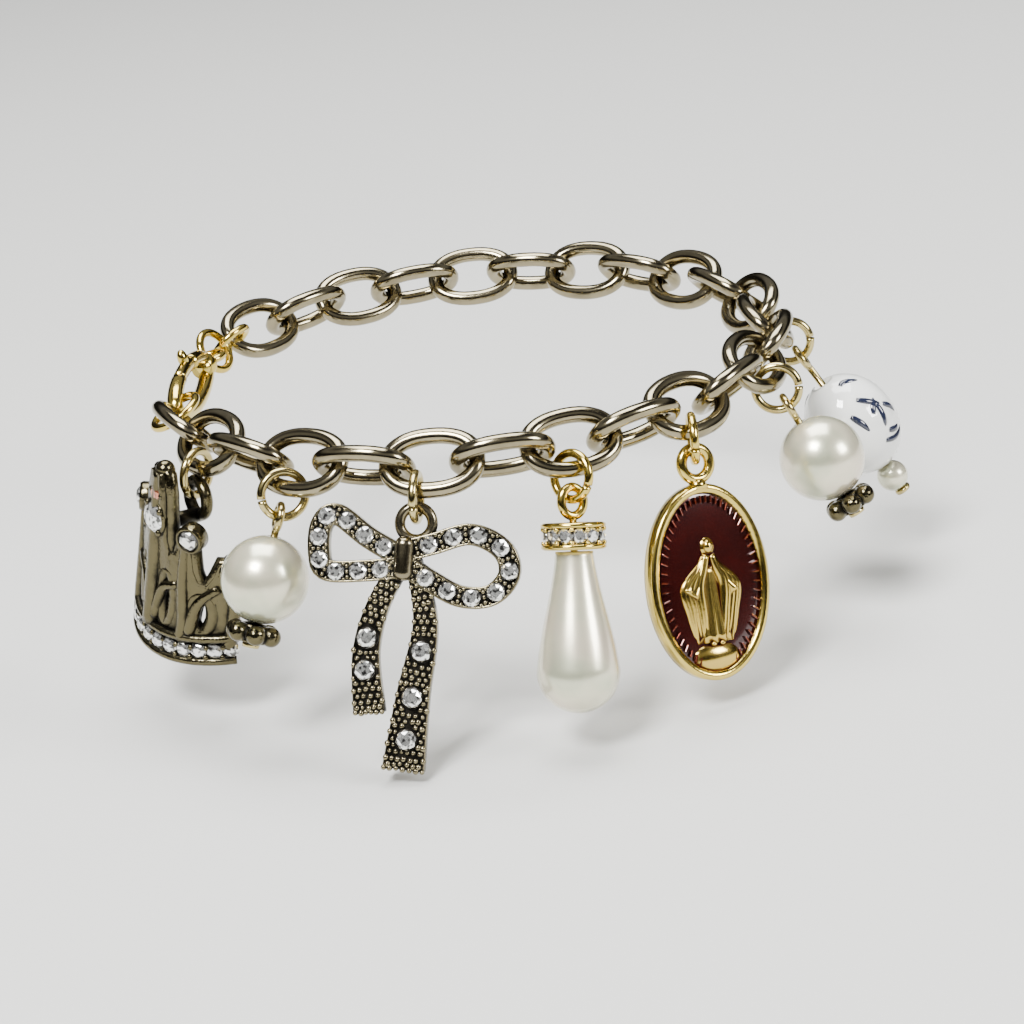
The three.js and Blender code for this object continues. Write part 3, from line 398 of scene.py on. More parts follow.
@dataclass(frozen=True)
class Enamel(Finish):
    """Translucent enamel over a bright ground."""

    colour: Colour = (0.045, 0.0025, 0.0015, 1)
    # also the painted shade colour where the rim and the relief stand over the enamel
    thick: Colour = (0.004, 0.0004, 0.0004, 1)
    metallic: float = 0.6
    roughness: float = 0.2
    coat_roughness: float = 0.03
    depth_scale: float = 330.0
    recess_mm: float = 1.6

    def build(self, tree: Tree) -> None:
        """Deeper colour in random patches and painted shade where the rim and the relief shut it in, with
        a glassy coat.
        """
        depth = tree.noise(self.depth_scale, 3.0)
        shut = tree.shelter(self.recess_mm)
        tree.surface(
            # painted shade: the shelter darkens the enamel toward its thick colour where the rim and the
            # relief stand over it; the noise deepens it at random
            Base_Color=tree.mix(((depth - 0.3) * 1.1 + shut * 1.3).clamped(), self.colour, self.thick),
            Metallic=self.metallic,
            Roughness=self.roughness,
            Coat_Weight=1.0,
            Coat_Roughness=self.coat_roughness,
        )


@dataclass(frozen=True)
class Crystal(Finish):
    """A foil-backed cut stone."""

    tint: Colour = (0.93, 0.93, 0.9, 1)
    # painted dark reflection of the facets
    dark: Colour = (0.07, 0.068, 0.065, 1)
    metallic: float = 0.85
    roughness: float = 0.05
    coat_roughness: float = 0.01
    painted_flash_scale: float = 2600.0
    painted_flash_edge: float = 8.0

    def build(self, tree: Tree) -> None:
        """Noise paints the facets' flashes: patches of the tint and of a painted dark reflection."""
        # painted reflections: the noise splits the facets into the tint and painted dark patches that
        # stand in for their flashes
        painted_flash = tree.noise(self.painted_flash_scale, 1.0)
        share = ((painted_flash - 0.5) * self.painted_flash_edge).clamped()
        tree.surface(
            Base_Color=tree.mix(share, self.tint, self.dark),
            Metallic=self.metallic,
            Roughness=self.roughness,
            Coat_Weight=1.0,
            Coat_Roughness=self.coat_roughness,
        )


# The second colour of each polished metal is painted shade, the dark of its reflections.
NICKEL = PolishedMetal(
    "antique_nickel", "chain_metal", (0.3, 0.26, 0.165, 1), (0.035, 0.028, 0.012, 1), 0.13,
    mottle=1.1, recess_mm=0.8)
GOLD = PolishedMetal("bright_gold", "gold", (0.7, 0.53, 0.13, 1), (0.2, 0.13, 0.02, 1), 0.13)
PALE_GOLD = PolishedMetal("pale_gold", "gold", (0.56, 0.46, 0.2, 1), (0.16, 0.12, 0.04, 1), 0.14)
SILVER = AntiqueMetal(
    "antique_silver", "antique_metal", (0.21, 0.18, 0.115, 1), (0.01, 0.009, 0.006, 1), 0.2,
    oxide_share=3.2, recess_mm=1.4, cast_mm=0.09, cast_scale=900.0, patchy=0.9)
GRAIN = AntiqueMetal(
    "rubbed_grain", "antique_metal", (0.22, 0.19, 0.115, 1), (0.008, 0.007, 0.005, 1), 0.2,
    oxide_share=3.4, recess_mm=0.6)
BRONZED = AntiqueMetal(
    "bronzed_silver", "antique_metal", (0.115, 0.099, 0.054, 1), (0.006, 0.005, 0.002, 1), 0.14,
    oxide_share=3.4, recess_mm=3.0, cast_mm=0.62, cast_scale=480.0, patchy=3.4)
OXIDE = AntiqueMetal(
    "oxidised_ground", "antique_metal", (0.014, 0.012, 0.009, 1), (0.004, 0.004, 0.003, 1), 0.4)
GILT_RELIEF = AntiqueMetal(
    "gilt_relief", "gold", (0.6, 0.43, 0.1, 1), (0.05, 0.004, 0.002, 1), 0.17,
    oxide_share=3.6, recess_mm=0.7, cast_mm=0.03, cast_scale=1500.0)
NACRE = PearlLustre("pearl_nacre", "pearl")
PORCELAIN = Glaze("white_porcelain", "porcelain")
BRUSH_BLUE = Glaze("brushed_cobalt", "porcelain", (0.006, 0.008, 0.022, 1), (0.02, 0.025, 0.05, 1))
# Both enamels darken toward their second colour as painted shade where they are shut in.
GARNET = Enamel("garnet_enamel", "enamel")
GARNET_RELIEF = Enamel("garnet_relief", "gold", (0.24, 0.04, 0.015, 1), (0.03, 0.004, 0.002, 1))
# Each crystal's second colour is a painted dark reflection.
CLEAR = Crystal("clear_crystal", "antique_metal")
AMBER = Crystal("amber_crystal", "antique_metal", (0.6, 0.2, 0.1, 1), (0.2, 0.05, 0.03, 1))
GOLD_CLEAR = Crystal("rondelle_crystal", "gold")


# Shapes in millimetres


def turned(profile: Sequence[Pair], steps: int = 48) -> bmesh.types.BMesh:
    """A body spun about Z.

    Args:
        profile: Pairs of radius and height. One that starts and ends at the same pair is closed.
        steps: The number of steps round the axis.

    Returns:
        The closed mesh.
    """
    bm = bmesh.new()
    closed = profile[0] == profile[-1]
    points = profile[:-1] if closed else profile
    verts = [bm.verts.new((radius, 0, height)) for radius, height in points]
    edges = [bm.edges.new(pair) for pair in zip(verts, verts[1:])]
    if closed:
        edges.append(bm.edges.new((verts[-1], verts[0])))
    bmesh.ops.spin(
        bm, geom=verts + edges, cent=(0, 0, 0), axis=(0, 0, 1), angle=TURN, steps=steps,
        use_merge=True, use_duplicate=False,
    )
    bmesh.ops.remove_doubles(bm, verts=bm.verts, dist=MERGE)
    bmesh.ops.recalc_face_normals(bm, faces=bm.faces)
    return bm


def ball(radius: float, across: int = 24, down: int = 16,
         stretch: Vector | None = None) -> bmesh.types.BMesh:
    """A ball, or an ellipsoid where it is stretched."""
    bm = bmesh.new()
    bmesh.ops.create_uvsphere(bm, u_segments=across, v_segments=down, radius=radius)
    if stretch is not None:
        bmesh.ops.scale(bm, vec=stretch, verts=bm.verts)
    return bm


def rod(radius: float, length: float, top: float | None = None, sides: int = 20) -> bmesh.types.BMesh:
    """A rod down Z, centred on the origin, tapering to top where that is given."""
    bm = bmesh.new()
    bmesh.ops.create_cone(
        bm, cap_ends=True, segments=sides, radius1=radius, radius2=radius if top is None else top,
        depth=length,
    )
    return bm


def block(size: Sequence[float], bevel: float, segments: int) -> bmesh.types.BMesh:
    """A block with rounded edges."""
    bm = bmesh.new()
    bmesh.ops.create_cube(bm, size=1.0)
    bmesh.ops.scale(bm, vec=size, verts=bm.verts)
    bmesh.ops.bevel(
        bm, geom=bm.edges[:], offset=bevel, segments=segments, profile=0.5, affect="EDGES", material=-1)
    return bm


def round_profile(radius: float, sides: int = 12, flat: float = 1.0) -> list[Pair]:
    """A round cross-section, flattened in its second direction."""
    angles = [TURN * i / sides for i in range(sides)]
    return [(radius * math.cos(a), radius * flat * math.sin(a)) for a in angles]


def swept(
    profile: Sequence[Pair], stations: Sequence[Matrix], closed: bool = False
) -> bmesh.types.BMesh:
    """A cross-section carried along stations.

    Args:
        profile: The cross-section in each station's XY plane.
        stations: Frames along the path, Z along it, which may scale the section.
        closed: Whether the last station joins the first.

    Returns:
        The closed mesh.
    """
    bm = bmesh.new()
    ring = [bm.verts.new(stations[0] @ Vector((x, y, 0))) for x, y in profile]
    edges = [bm.edges.new(pair) for pair in zip(ring, ring[1:] + ring[:1])]
    first = list(edges)
    if not closed:
        bm.faces.new(ring)
    for before, after in zip(stations, stations[1:]):
        made = bmesh.ops.extrude_edge_only(bm, edges=edges)["geom"]
        verts = [item for item in made if isinstance(item, bmesh.types.BMVert)]
        edges = [item for item in made if isinstance(item, bmesh.types.BMEdge)]
        bmesh.ops.transform(bm, matrix=after @ before.inverted(), verts=verts)
    if closed:
        bmesh.ops.bridge_loops(bm, edges=first + edges)
    else:
        bmesh.ops.contextual_create(bm, geom=edges)
    bmesh.ops.recalc_face_normals(bm, faces=bm.faces)
    return bm


def station(at: Vector, along: Vector, side: Vector, wide: float = 1.0, deep: float = 1.0) -> Matrix:
    """A frame on a path.

    Args:
        at: The frame's place.
        along: The path's direction, which becomes Z.
        side: The direction nearest to X.
        wide: Scale across X.
        deep: Scale across Y.

    Returns:
        The frame as a matrix.
    """
    z = along.normalized()
    x = (side - z * side.dot(z)).normalized()
    y = z.cross(x)
    turn = Matrix((x * wide, y * deep, z)).transposed().to_4x4()
    return Matrix.Translation(at) @ turn


def wire_path(points: Sequence[Vector], radius: float, sides: int = 12, closed: bool = False,
              taper: Callable[[float], float] = lambda share: 1.0) -> bmesh.types.BMesh:
    """A round wire through points.

    Args:
        points: The wire's centre line.
        radius: The wire's radius.
        sides: Sides of its section.
        closed: Whether it ends where it starts.
        taper: The section's scale by the share of the way along.

    Returns:
        The wire's mesh.
    """
    count = len(points)
    stations = []
    side = Vector((0.13, 1.0, 0.21))
    for i, point in enumerate(points):
        before = points[(i - 1) % count] if closed or i else point
        after = points[(i + 1) % count] if closed or i < count - 1 else point
        scale = taper(i / max(1, count - 1))
        frame_here = station(point, after - before, side, scale, scale)
        side = frame_here.to_3x3().col[0].normalized()
        stations.append(frame_here)
    return swept(round_profile(radius, sides), stations, closed)


def ring_of_wire(outer: float, wire: float, split_deg: float = 0.0, around: int = 48) -> bmesh.types.BMesh:
    """A jump ring or an eye in the XZ plane, with the cut of the real one where split_deg is given."""
    radius = (outer - wire) / 2
    if split_deg:
        reach = math.radians(360 - split_deg)
        start = math.radians(90 + split_deg / 2)
        angles = [start + reach * i / around for i in range(around + 1)]
        points = [Vector((radius * math.cos(a), 0, radius * math.sin(a))) for a in angles]
        return wire_path(points, wire / 2, WIRE_SIDES)
    bm = bmesh.new()
    at = Matrix.Translation((radius, 0, 0))
    bmesh.ops.create_circle(bm, segments=WIRE_SIDES, radius=wire / 2, matrix=at)
    bmesh.ops.spin(
        bm, geom=bm.verts[:] + bm.edges[:], cent=(0, 0, 0), axis=(0, 1, 0), angle=TURN, steps=around,
        use_merge=True, use_duplicate=False,
    )
    bmesh.ops.recalc_face_normals(bm, faces=bm.faces)
    return bm


def level_ring(radius: float, wire: float, step_deg: int) -> bmesh.types.BMesh:
    """A closed ring of round wire in the XY plane, from the radii of its centre line and of its wire."""
    angles = [math.radians(deg) for deg in range(0, 360, step_deg)]
    points = [Vector((radius * math.cos(a), radius * math.sin(a), 0)) for a in angles]
    return wire_path(points, wire, 8, True)


def oval_wire(length: float, width: float, wire: float, fullness: float, around: int = 56,
              sides: int = 16) -> bmesh.types.BMesh:
    """A closed oval of round wire in the XY plane, with its length along X."""
    points = []
    for i in range(around):
        angle = TURN * i / around
        c, s = math.cos(angle), math.sin(angle)
        x = (length - wire) / 2 * math.copysign(abs(c) ** (2 / fullness), c)
        y = (width - wire) / 2 * math.copysign(abs(s) ** (2 / fullness), s)
        points.append(Vector((x, y, 0)))
    stations = [
        station(point, points[(i + 1) % around] - points[i - 1], Vector((0, 0, 1)))
        for i, point in enumerate(points)
    ]
    return swept(round_profile(wire / 2, sides), stations, True)


def cut_stone(diameter: float, stem: float = 0.4) -> bmesh.types.BMesh:
    """A brilliant facing -Y: a table, kite and girdle facets, and a pavilion down to its stem."""
    facets, rise, table, star, star_rise = 8, 0.24, 0.52, 0.84, 0.56
    radius, crown = diameter / 2, diameter * rise
    profile = [
        (0, crown), (radius * table, crown), (radius * star, crown * star_rise), (radius, 0.0),
        (radius * 0.9, -stem * 0.5), (0, -stem),
    ]
    bm = turned(profile, facets)
    middle = [v for v in bm.verts if abs(v.co.z - crown * star_rise) < MERGE]
    half_facet = Matrix.Rotation(TURN / (2 * facets), 3, "Z")
    bmesh.ops.rotate(bm, cent=(0, 0, 0), matrix=half_facet, verts=middle)
    bmesh.ops.triangulate(bm, faces=[f for f in bm.faces if len(f.verts) == 4])
    bmesh.ops.rotate(bm, cent=(0, 0, 0), matrix=Matrix.Rotation(TURN / 4, 3, "X"), verts=bm.verts)
    return bm


def placed(x: float = 0, y: float = 0, z: float = 0, turn_x: float = 0, turn_y: float = 0,
           turn_z: float = 0) -> Matrix:
    """A matrix from a place and turns in degrees about X, then Y, then Z."""
    turn = (
        Matrix.Rotation(math.radians(turn_z), 4, "Z")
        @ Matrix.Rotation(math.radians(turn_y), 4, "Y")
        @ Matrix.Rotation(math.radians(turn_x), 4, "X")
    )
    return Matrix.Translation((x, y, z)) @ turn


def drilled_profile(width: float, length: float, bore: float, rows: int) -> list[Pair]:
    """The closed profile of an ellipsoid bead with a straight bore of that radius."""
    start = math.asin(2 * bore / width)
    angles = [start + (math.pi - 2 * start) * i / rows for i in range(rows + 1)]
    profile = [(width / 2 * math.sin(a), -length / 2 * math.cos(a)) for a in angles]
    return [*profile, profile[0]]


class Piece:
    """One visible object, gathered from shapes in millimetres."""

    def __init__(self, name: str, world: Matrix) -> None:
        """Starts a piece in a frame of the row, in millimetres."""
        self.name = name
        self.world = world
        self.finishes: list[Finish] = []
        self.whole = bmesh.new()

    def add(self, shape: bmesh.types.BMesh, finish: Finish, places: Iterable[Matrix] = (Matrix(),),
            smooth: bool = True) -> "Piece":
        """Adds a shape at each place and frees it.

        Args:
            shape: The mesh to add.
            finish: Its finish.
            places: Where its copies go, in the piece's frame.
            smooth: Whether its faces are shaded smooth.

        Returns:
            The piece.
        """
        if finish not in self.finishes:
            self.finishes.append(finish)
        for face in shape.faces:
            face.material_index = self.finishes.index(finish)
            face.smooth = smooth
        template = bpy.data.meshes.new("shape")
        shape.to_mesh(template)
        shape.free()
        for place in places:
            copy = template.copy()
            copy.transform(place)
            if place.determinant() < 0:
                copy.flip_normals()
            self.whole.from_mesh(copy)
            bpy.data.meshes.remove(copy)
        bpy.data.meshes.remove(template)
        return self

    def finish(self, body: Body, *nodes: str) -> bpy.types.Object:
        """Makes the object and ties it to the frame.

        Args:
            body: The body it rides on.
            nodes: The CAD nodes it stands for.

        Returns:
            The object.
        """
        mesh = bpy.data.meshes.new(self.name)
        self.whole.to_mesh(mesh)
        self.whole.free()
        mesh.transform(Matrix.Scale(MM, 4) @ self.world)
        for finish in self.finishes:
            mesh.materials.append(finish.material())
        made = bpy.data.objects.new(self.name, mesh)
        bpy.context.scene.collection.objects.link(made)
        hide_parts(*nodes)
        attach(made, body.value)
        log.info("%s: %d faces for %s", self.name, len(mesh.polygons), ", ".join(nodes))
        return made


class Spline:
    """A smooth curve through points in the XZ plane, measured along its length."""

    SAMPLES = 240

    def __init__(self, points: Sequence[Pair]) -> None:
        """Samples the curve through the points."""
        self.points = [Vector(point) for point in points]
        self.samples = [self._curve(i / self.SAMPLES) for i in range(self.SAMPLES + 1)]
        self.lengths = [0.0]
        for before, after in zip(self.samples, self.samples[1:]):
            self.lengths.append(self.lengths[-1] + (after - before).length)

    def _curve(self, share: float) -> Vector:
        """The point at a share of the curve's own parameter."""
        last = len(self.points) - 1
        place = last * share
        i = min(int(place), last - 1)
        t = place - i
        p0, p1 = self.points[max(i - 1, 0)], self.points[i]
        p2, p3 = self.points[i + 1], self.points[min(i + 2, last)]
        v0, v1 = (p2 - p0) / 2, (p3 - p1) / 2
        cubic = (p1 * 2 - p2 * 2 + v0 + v1) * t**3
        return cubic + (p2 * 3 - p1 * 3 - v0 * 2 - v1) * t**2 + v0 * t + p1

    def at(self, share: float) -> Vector:
        """The point at a share of the length."""
        target = max(0.0, min(1.0, share)) * self.lengths[-1]
        i = next((n for n, length in enumerate(self.lengths[1:]) if length >= target), self.SAMPLES - 1)
        step = self.lengths[i + 1] - self.lengths[i] or 1.0
        return self.samples[i].lerp(self.samples[i + 1], (target - self.lengths[i]) / step)

    def tangent(self, share: float) -> Vector:
        """The direction at a share of the length."""
        return (self.at(share + 0.01) - self.at(share - 0.01)).normalized()

    def beside(self, share: float, offset: float, y: float) -> Vector:
        """A point in space beside the curve.

        Args:
            share: The share of the length.
            offset: The distance to the left of the curve's direction.
            y: How far back it lies.

        Returns:
            The point.
        """
        at, along = self.at(share), self.tangent(share)
        aside = Vector((-along.y, along.x)) * offset
        return Vector((at.x + aside.x, y, at.y + aside.y))

    def station(self, share: float, wide: float = 1.0, deep: float = 1.0) -> Matrix:
        """A sweep frame: X across the curve in the XZ plane, Y to the back."""
        at, along = self.at(share), self.tangent(share)
        across = Vector((along.y, 0, -along.x))
        return station(Vector((at.x, 0, at.y)), Vector((along.x, 0, along.y)), across, wide, deep)


def smooth_pairs(pairs: Sequence[Pair], between: int) -> list[Pair]:
    """Points along a smooth curve through pairs of numbers."""
    curve = Spline(pairs)
    count = between * (len(pairs) - 1)
    return [tuple(curve.at(i / count)) for i in range(count + 1)]


def brush_taper(share: float) -> float:
    """A brush stroke's width: full soon after its start and thin at its end."""
    return max(0.25, math.sin(math.pi * min(1.0, share * 0.8 + 0.2)) ** 0.5)


def cast_taper(share: float) -> float:
    """A cast rib's width: swollen at its foot and slimmer towards its tip."""
    return 1.2 - 0.45 * share


# Places round the loop


def link_angle(index: int) -> float:
    """A link's angle round the loop, in degrees from -Y towards +X."""
    return FRONT_LINK_DEG + index * LOOP_STEP_DEG


def loop_frame(angle_deg: float) -> tuple[Vector, Vector, Vector]:
    """The centre line's place, its direction and the outward direction at an angle."""
    angle = math.radians(angle_deg)
    outward = Vector((math.sin(angle), -math.cos(angle), 0))
    return outward * LOOP_RADIUS, Vector((math.cos(angle), math.sin(angle), 0)), outward


def oriented(at: Vector, down: Vector, y_toward_deg: float) -> Matrix:
    """A frame whose -Z runs down and whose Y leans to a compass angle in the XY plane."""
    z = -down
    toward = Vector((math.cos(math.radians(y_toward_deg)), math.sin(math.radians(y_toward_deg)), 0))
    x = toward.cross(z).normalized()
    return Matrix.Translation(at) @ Matrix((x, z.cross(x), z)).transposed().to_4x4()


@dataclass(frozen=True)
class Hang:
    """Where and how a charm hangs from its link."""

    link: int
    slide: float
    lean_out: float
    lean_along: float
    ring_axis_deg: float
    charm_y_deg: float

    def point(self) -> Vector:
        """The middle of the link's wire under the jump ring."""
        half_length = (LINK_LENGTH - LINK_WIRE) / 2
        share = (1 - abs(self.slide / half_length) ** FULLNESS) ** (1 / FULLNESS)
        reach = (LINK_WIDTH - LINK_WIRE) / 2 * share
        centre, along, outward = loop_frame(link_angle(self.link))
        tilt = math.radians(LINK_TWIST_DEG)
        lift = Vector((0, 0, -reach * math.cos(tilt)))
        return centre + along * self.slide + outward * (reach * math.sin(tilt)) + lift

    def down(self) -> Vector:
        """The way the charm hangs."""
        _, along, outward = loop_frame(link_angle(self.link))
        out = outward * math.tan(math.radians(self.lean_out))
        return (Vector((0, 0, -1)) + out + along * math.tan(math.radians(self.lean_along))).normalized()

    def ring_centre(self) -> Vector:
        """The jump ring's centre."""
        inner = RING_OUTER / 2 - RING_WIRE
        return self.point() + self.down() * (inner - LINK_WIRE / 2 - CLEARANCE)

    def ring_frame(self) -> Matrix:
        """The jump ring's frame."""
        return oriented(self.ring_centre(), self.down(), self.ring_axis_deg)

    def charm_frame(self, eye_inner: float) -> Matrix:
        """The frame of the charm's eye.

        Args:
            eye_inner: The eye's inner radius.

        Returns:
            The frame, with its origin in the middle of the eye.
        """
        drop = (RING_OUTER - RING_WIRE) / 2 + eye_inner - RING_WIRE / 2 - CLEARANCE
        return oriented(self.ring_centre() + self.down() * drop, self.down(), self.charm_y_deg)


@dataclass
class Chain:
    """The oval links."""

    length: float = LINK_LENGTH
    width: float = LINK_WIDTH
    wire: float = LINK_WIRE

    def build(self) -> None:
        """Makes every link in its own frame."""
        for n in range(LINK_COUNT):
            index = FIRST_LINK + n
            angle = link_angle(index)
            centre, _, _ = loop_frame(angle)
            lean = 90 - LINK_TWIST_DEG if index % 2 == 0 else 90 + LINK_TWIST_DEG
            world = placed(*centre, turn_x=lean, turn_z=angle)
            shape = oval_wire(self.length, self.width, self.wire, FULLNESS)
            node = f"link_{n + 1:02d}"
            Piece(f"{node}_wire", world).add(shape, NICKEL).finish(Body.CHAIN, node)


@dataclass
class Clasp:
    """The lobster clasp, its lever and the rings that close the loop."""

    width: float = 5.4
    thickness: float = 1.6
    bar: float = 1.35
    hook_wire: float = 1.3
    hook_ring: float = 5.8
    roll_deg: float = 10
    eye_outer: float = 3.8
    eye_wire: float = 0.8
    clearance: float = 0.5
    collar: float = 2.6
    lever_length: float = 4.6
    lever_setback: float = 1.67
    lever_thickness: float = 1.3
    eye_side_swell: float = 1.25
    gate_slack: float = 0.055
    collar_at: float = 0.4
    shank: tuple = (0.8, 1.0, 1.1)
    shank_at: float = 1.3
    tab: float = 0.6
    tab_at: float = 1.4

    def __post_init__(self) -> None:
        """Works out the closing rings' angles and the clasp's frame."""
        arc = math.degrees(1 / LOOP_RADIUS)
        inner = RING_OUTER / 2 - RING_WIRE
        hook_inner = self.hook_ring / 2 - RING_WIRE
        reach = LINK_LENGTH / 2 - LINK_WIRE - CLEARANCE
        self.hook_at = link_angle(FIRST_LINK) - (reach + hook_inner) * arc
        self.end_at = link_angle(FIRST_LINK + LINK_COUNT - 1) - 360 + (reach + inner) * arc
        self.tail_at = self.end_at + (2 * inner - CLEARANCE) * arc
        hook_end = hook_inner - self.clearance - self.hook_wire
        eye_end = inner - self.clearance - self.eye_wire
        stretch = (self.hook_at - self.tail_at) / arc - hook_end - eye_end
        half = stretch / 2 / LOOP_RADIUS
        angle = self.tail_at + (eye_end + stretch / 2) * arc
        self.span = 2 * LOOP_RADIUS * math.sin(half)
        centre = loop_frame(angle)[0] * math.cos(half)
        self.world = placed(*centre, turn_x=90 + self.roll_deg, turn_z=angle)
        self.body_length = self.span - self.eye_outer + self.eye_wire
        self.middle = self.span / 2 - self.body_length / 2

    def build(self) -> None:
        """Makes the rings, the hook and the lever."""
        lean = -(LINK_TWIST_DEG + 90 - self.roll_deg) / 2
        self._ring("hook_ring", self.hook_at, lean, self.hook_ring)
        self._ring("end_ring", self.end_at, -LINK_TWIST_DEG, RING_OUTER)
        self._ring("tail_ring", self.tail_at, (LINK_TWIST_DEG + self.roll_deg) / 2, RING_OUTER)
        self._body()
        self._lever()

    def _ring(self, node: str, angle: float, lean: float, outer: float) -> None:
        """Makes one closing ring."""
        world = placed(*loop_frame(angle)[0], turn_x=lean, turn_z=angle)
        Piece(f"{node}_wire", world).add(ring_of_wire(outer, RING_WIRE), GOLD).finish(Body.CHAIN, node)

    def _hoop(self, start: float, end: float, steps: int, thin: float) -> bmesh.types.BMesh:
        """A stretch of the hoop between two angles round its oval, with a rounded section."""
        stations = []
        for i in range(steps + 1):
            angle = start + (end - start) * i / steps
            towards_eye = (1 - math.cos(angle)) / 2
            bar = self.hook_wire + (self.bar * self.eye_side_swell - self.hook_wire) * towards_eye
            at = Vector((
                self.middle + (self.body_length - bar) / 2 * math.cos(angle),
                (self.width - bar) / 2 * math.sin(angle),
                0,
            ))
            along = Vector((
                -self.body_length / 2 * math.sin(angle), self.width / 2 * math.cos(angle), 0))
            stations.append(station(at, along, Vector((0, 0, 1)), thin, bar / 2))
        return swept(round_profile(1.0, 16), stations)

    def _gate(self) -> tuple[float, float]:
        """The hoop angles at the two ends of the lever."""
        ends = (-self.lever_setback, self.lever_length - self.lever_setback)
        near, far = (math.acos(2 * x / (self.body_length - self.bar)) for x in ends)
        return far, near

    def _body(self) -> None:
        """Makes the hook, the collar and the swivel eye."""
        far, near = self._gate()
        slack = self.gate_slack
        shape = self._hoop(near + slack, far - slack + TURN, 64, self.thickness / 2)
        eye_at = -self.span / 2 + self.eye_outer / 2
        neck_at = eye_at + self.eye_outer / 2
        piece = Piece("clasp_hook", self.world).add(shape, GOLD)
        piece.add(ring_of_wire(self.eye_outer, self.eye_wire), GOLD, [placed(eye_at)])
        piece.add(ball(self.collar / 2), GOLD, [placed(neck_at + self.collar_at)])
        piece.add(rod(*self.shank), GOLD, [placed(neck_at + self.shank_at, turn_y=90)])
        piece.finish(Body.CHAIN, "clasp_body")

    def _lever(self) -> None:
        """Makes the lever with its thumb tab."""
        far, near = self._gate()
        shape = self._hoop(far, near, 16, self.lever_thickness / 2)
        tab_x = self.middle - self.lever_setback + self.tab_at
        tab = ball(self.tab, 16, 12, Vector((1.0, 1.6, 0.9)))
        piece = Piece("clasp_gate", self.world).add(shape, GOLD)
        piece.add(tab, GOLD, [placed(tab_x, self.width / 2 + 0.2)])
        piece.finish(Body.LEVER, "clasp_lever")


@dataclass
class Charm:
    """What every charm shares: its name, its place and its jump ring."""

    name: str
    hang: Hang
    body: Body = Body.CHAIN
    ring_finish: Finish = PALE_GOLD
    split_deg: float = 5.0
    split_at_deg: float = 115

    def ring(self) -> None:
        """Makes the jump ring."""
        shape = ring_of_wire(RING_OUTER, RING_WIRE, self.split_deg)
        turned_split = [placed(turn_y=self.split_at_deg)]
        piece = Piece(f"{self.name}_jump_ring", self.hang.ring_frame())
        piece.add(shape, self.ring_finish, turned_split).finish(self.body, f"{self.name}_ring")

    def eye_frame(self, outer: float, wire: float) -> Matrix:
        """The frame of the charm's eye, from the eye's outer diameter and its wire."""
        return self.hang.charm_frame(outer / 2 - wire)

    def build(self) -> None:
        """Makes the whole charm."""
        raise NotImplementedError

    def pin(self, world: Matrix, length: float) -> None:
        """Makes a pin: a turned loop, a straight stem and a flat head.

        Args:
            world: The frame of its loop.
            length: From the loop's middle to the head.
        """
        loop = (EYE_OUTER - EYE_WIRE) / 2
        half, foot = PIN_HEAD * 0.46, -0.5
        cap = [(0, 0), (half, 0), (PIN_HEAD / 2, -0.15), (half, -0.42), (0, foot)]
        piece = Piece(f"{self.name}_eye_pin", world)
        piece.add(ring_of_wire(EYE_OUTER, EYE_WIRE, 7), PALE_GOLD, [placed(turn_y=150)])
        piece.add(rod(PIN_STEM / 2, length - loop), PALE_GOLD, [placed(z=-(length + loop) / 2)])
        piece.add(turned(cap, 24), PALE_GOLD, [placed(z=-length + 0.02)])
        piece.finish(self.body, f"{self.name}_pin")


@dataclass
class PearlCharm(Charm):
    """A round pearl over a ring of balls, on a pin."""

    pearl: float = 8.3
    spacer_outer: float = 5.5
    spacer_ball: float = 1.9
    spacer_core: float = 1.3
    spacer_balls: int = 6
    core_swell: float = 0.2
    collar_share: float = 0.72
    collar_wire: float = 0.22

    def build(self) -> None:
        """Makes the ring, the pin, the pearl and the spacer."""
        self.ring()
        world = self.eye_frame(EYE_OUTER, EYE_WIRE)
        pearl_top = EYE_OUTER / 2 + GAP
        spacer_at = pearl_top + self.pearl + self.spacer_ball / 2
        bore = PIN_STEM / 2 + GAP
        self.pin(world, spacer_at + self.spacer_core / 2 + GAP)
        pearl = turned(drilled_profile(self.pearl, self.pearl, bore, 40), 64)
        piece = Piece(f"{self.name}_nacre", world)
        piece.add(pearl, NACRE, [placed(z=-pearl_top - self.pearl / 2)]).finish(self.body, self.name)
        self._spacer(world, spacer_at, bore)

    def _spacer(self, world: Matrix, at: float, bore: float) -> None:
        """A ring of balls round a grooved core.

        Args:
            world: The charm's frame.
            at: How far down it sits.
            bore: The radius of its hole.
        """
        reach = (self.spacer_outer - self.spacer_ball) / 2
        half = self.spacer_core / 2
        core = [(bore, -half), (reach, -half * 0.8), (reach + self.core_swell, 0), (reach, half * 0.8),
                (bore, half), (bore, -half)]
        piece = Piece(f"{self.name}_beaded_spacer", world).add(turned(core, 32), OXIDE, [placed(z=-at)])
        turns = [360 * i / self.spacer_balls for i in range(self.spacer_balls)]
        places = [placed(z=-at, turn_z=turn) @ placed(reach) for turn in turns]
        piece.add(ball(self.spacer_ball / 2, 20, 14), BRONZED, places)
        collar = level_ring(reach * self.collar_share, self.collar_wire, 12)
        piece.add(collar, BRONZED, [placed(z=-at + half), placed(z=-at - half)])
        piece.finish(self.body, f"{self.name}_spacer")


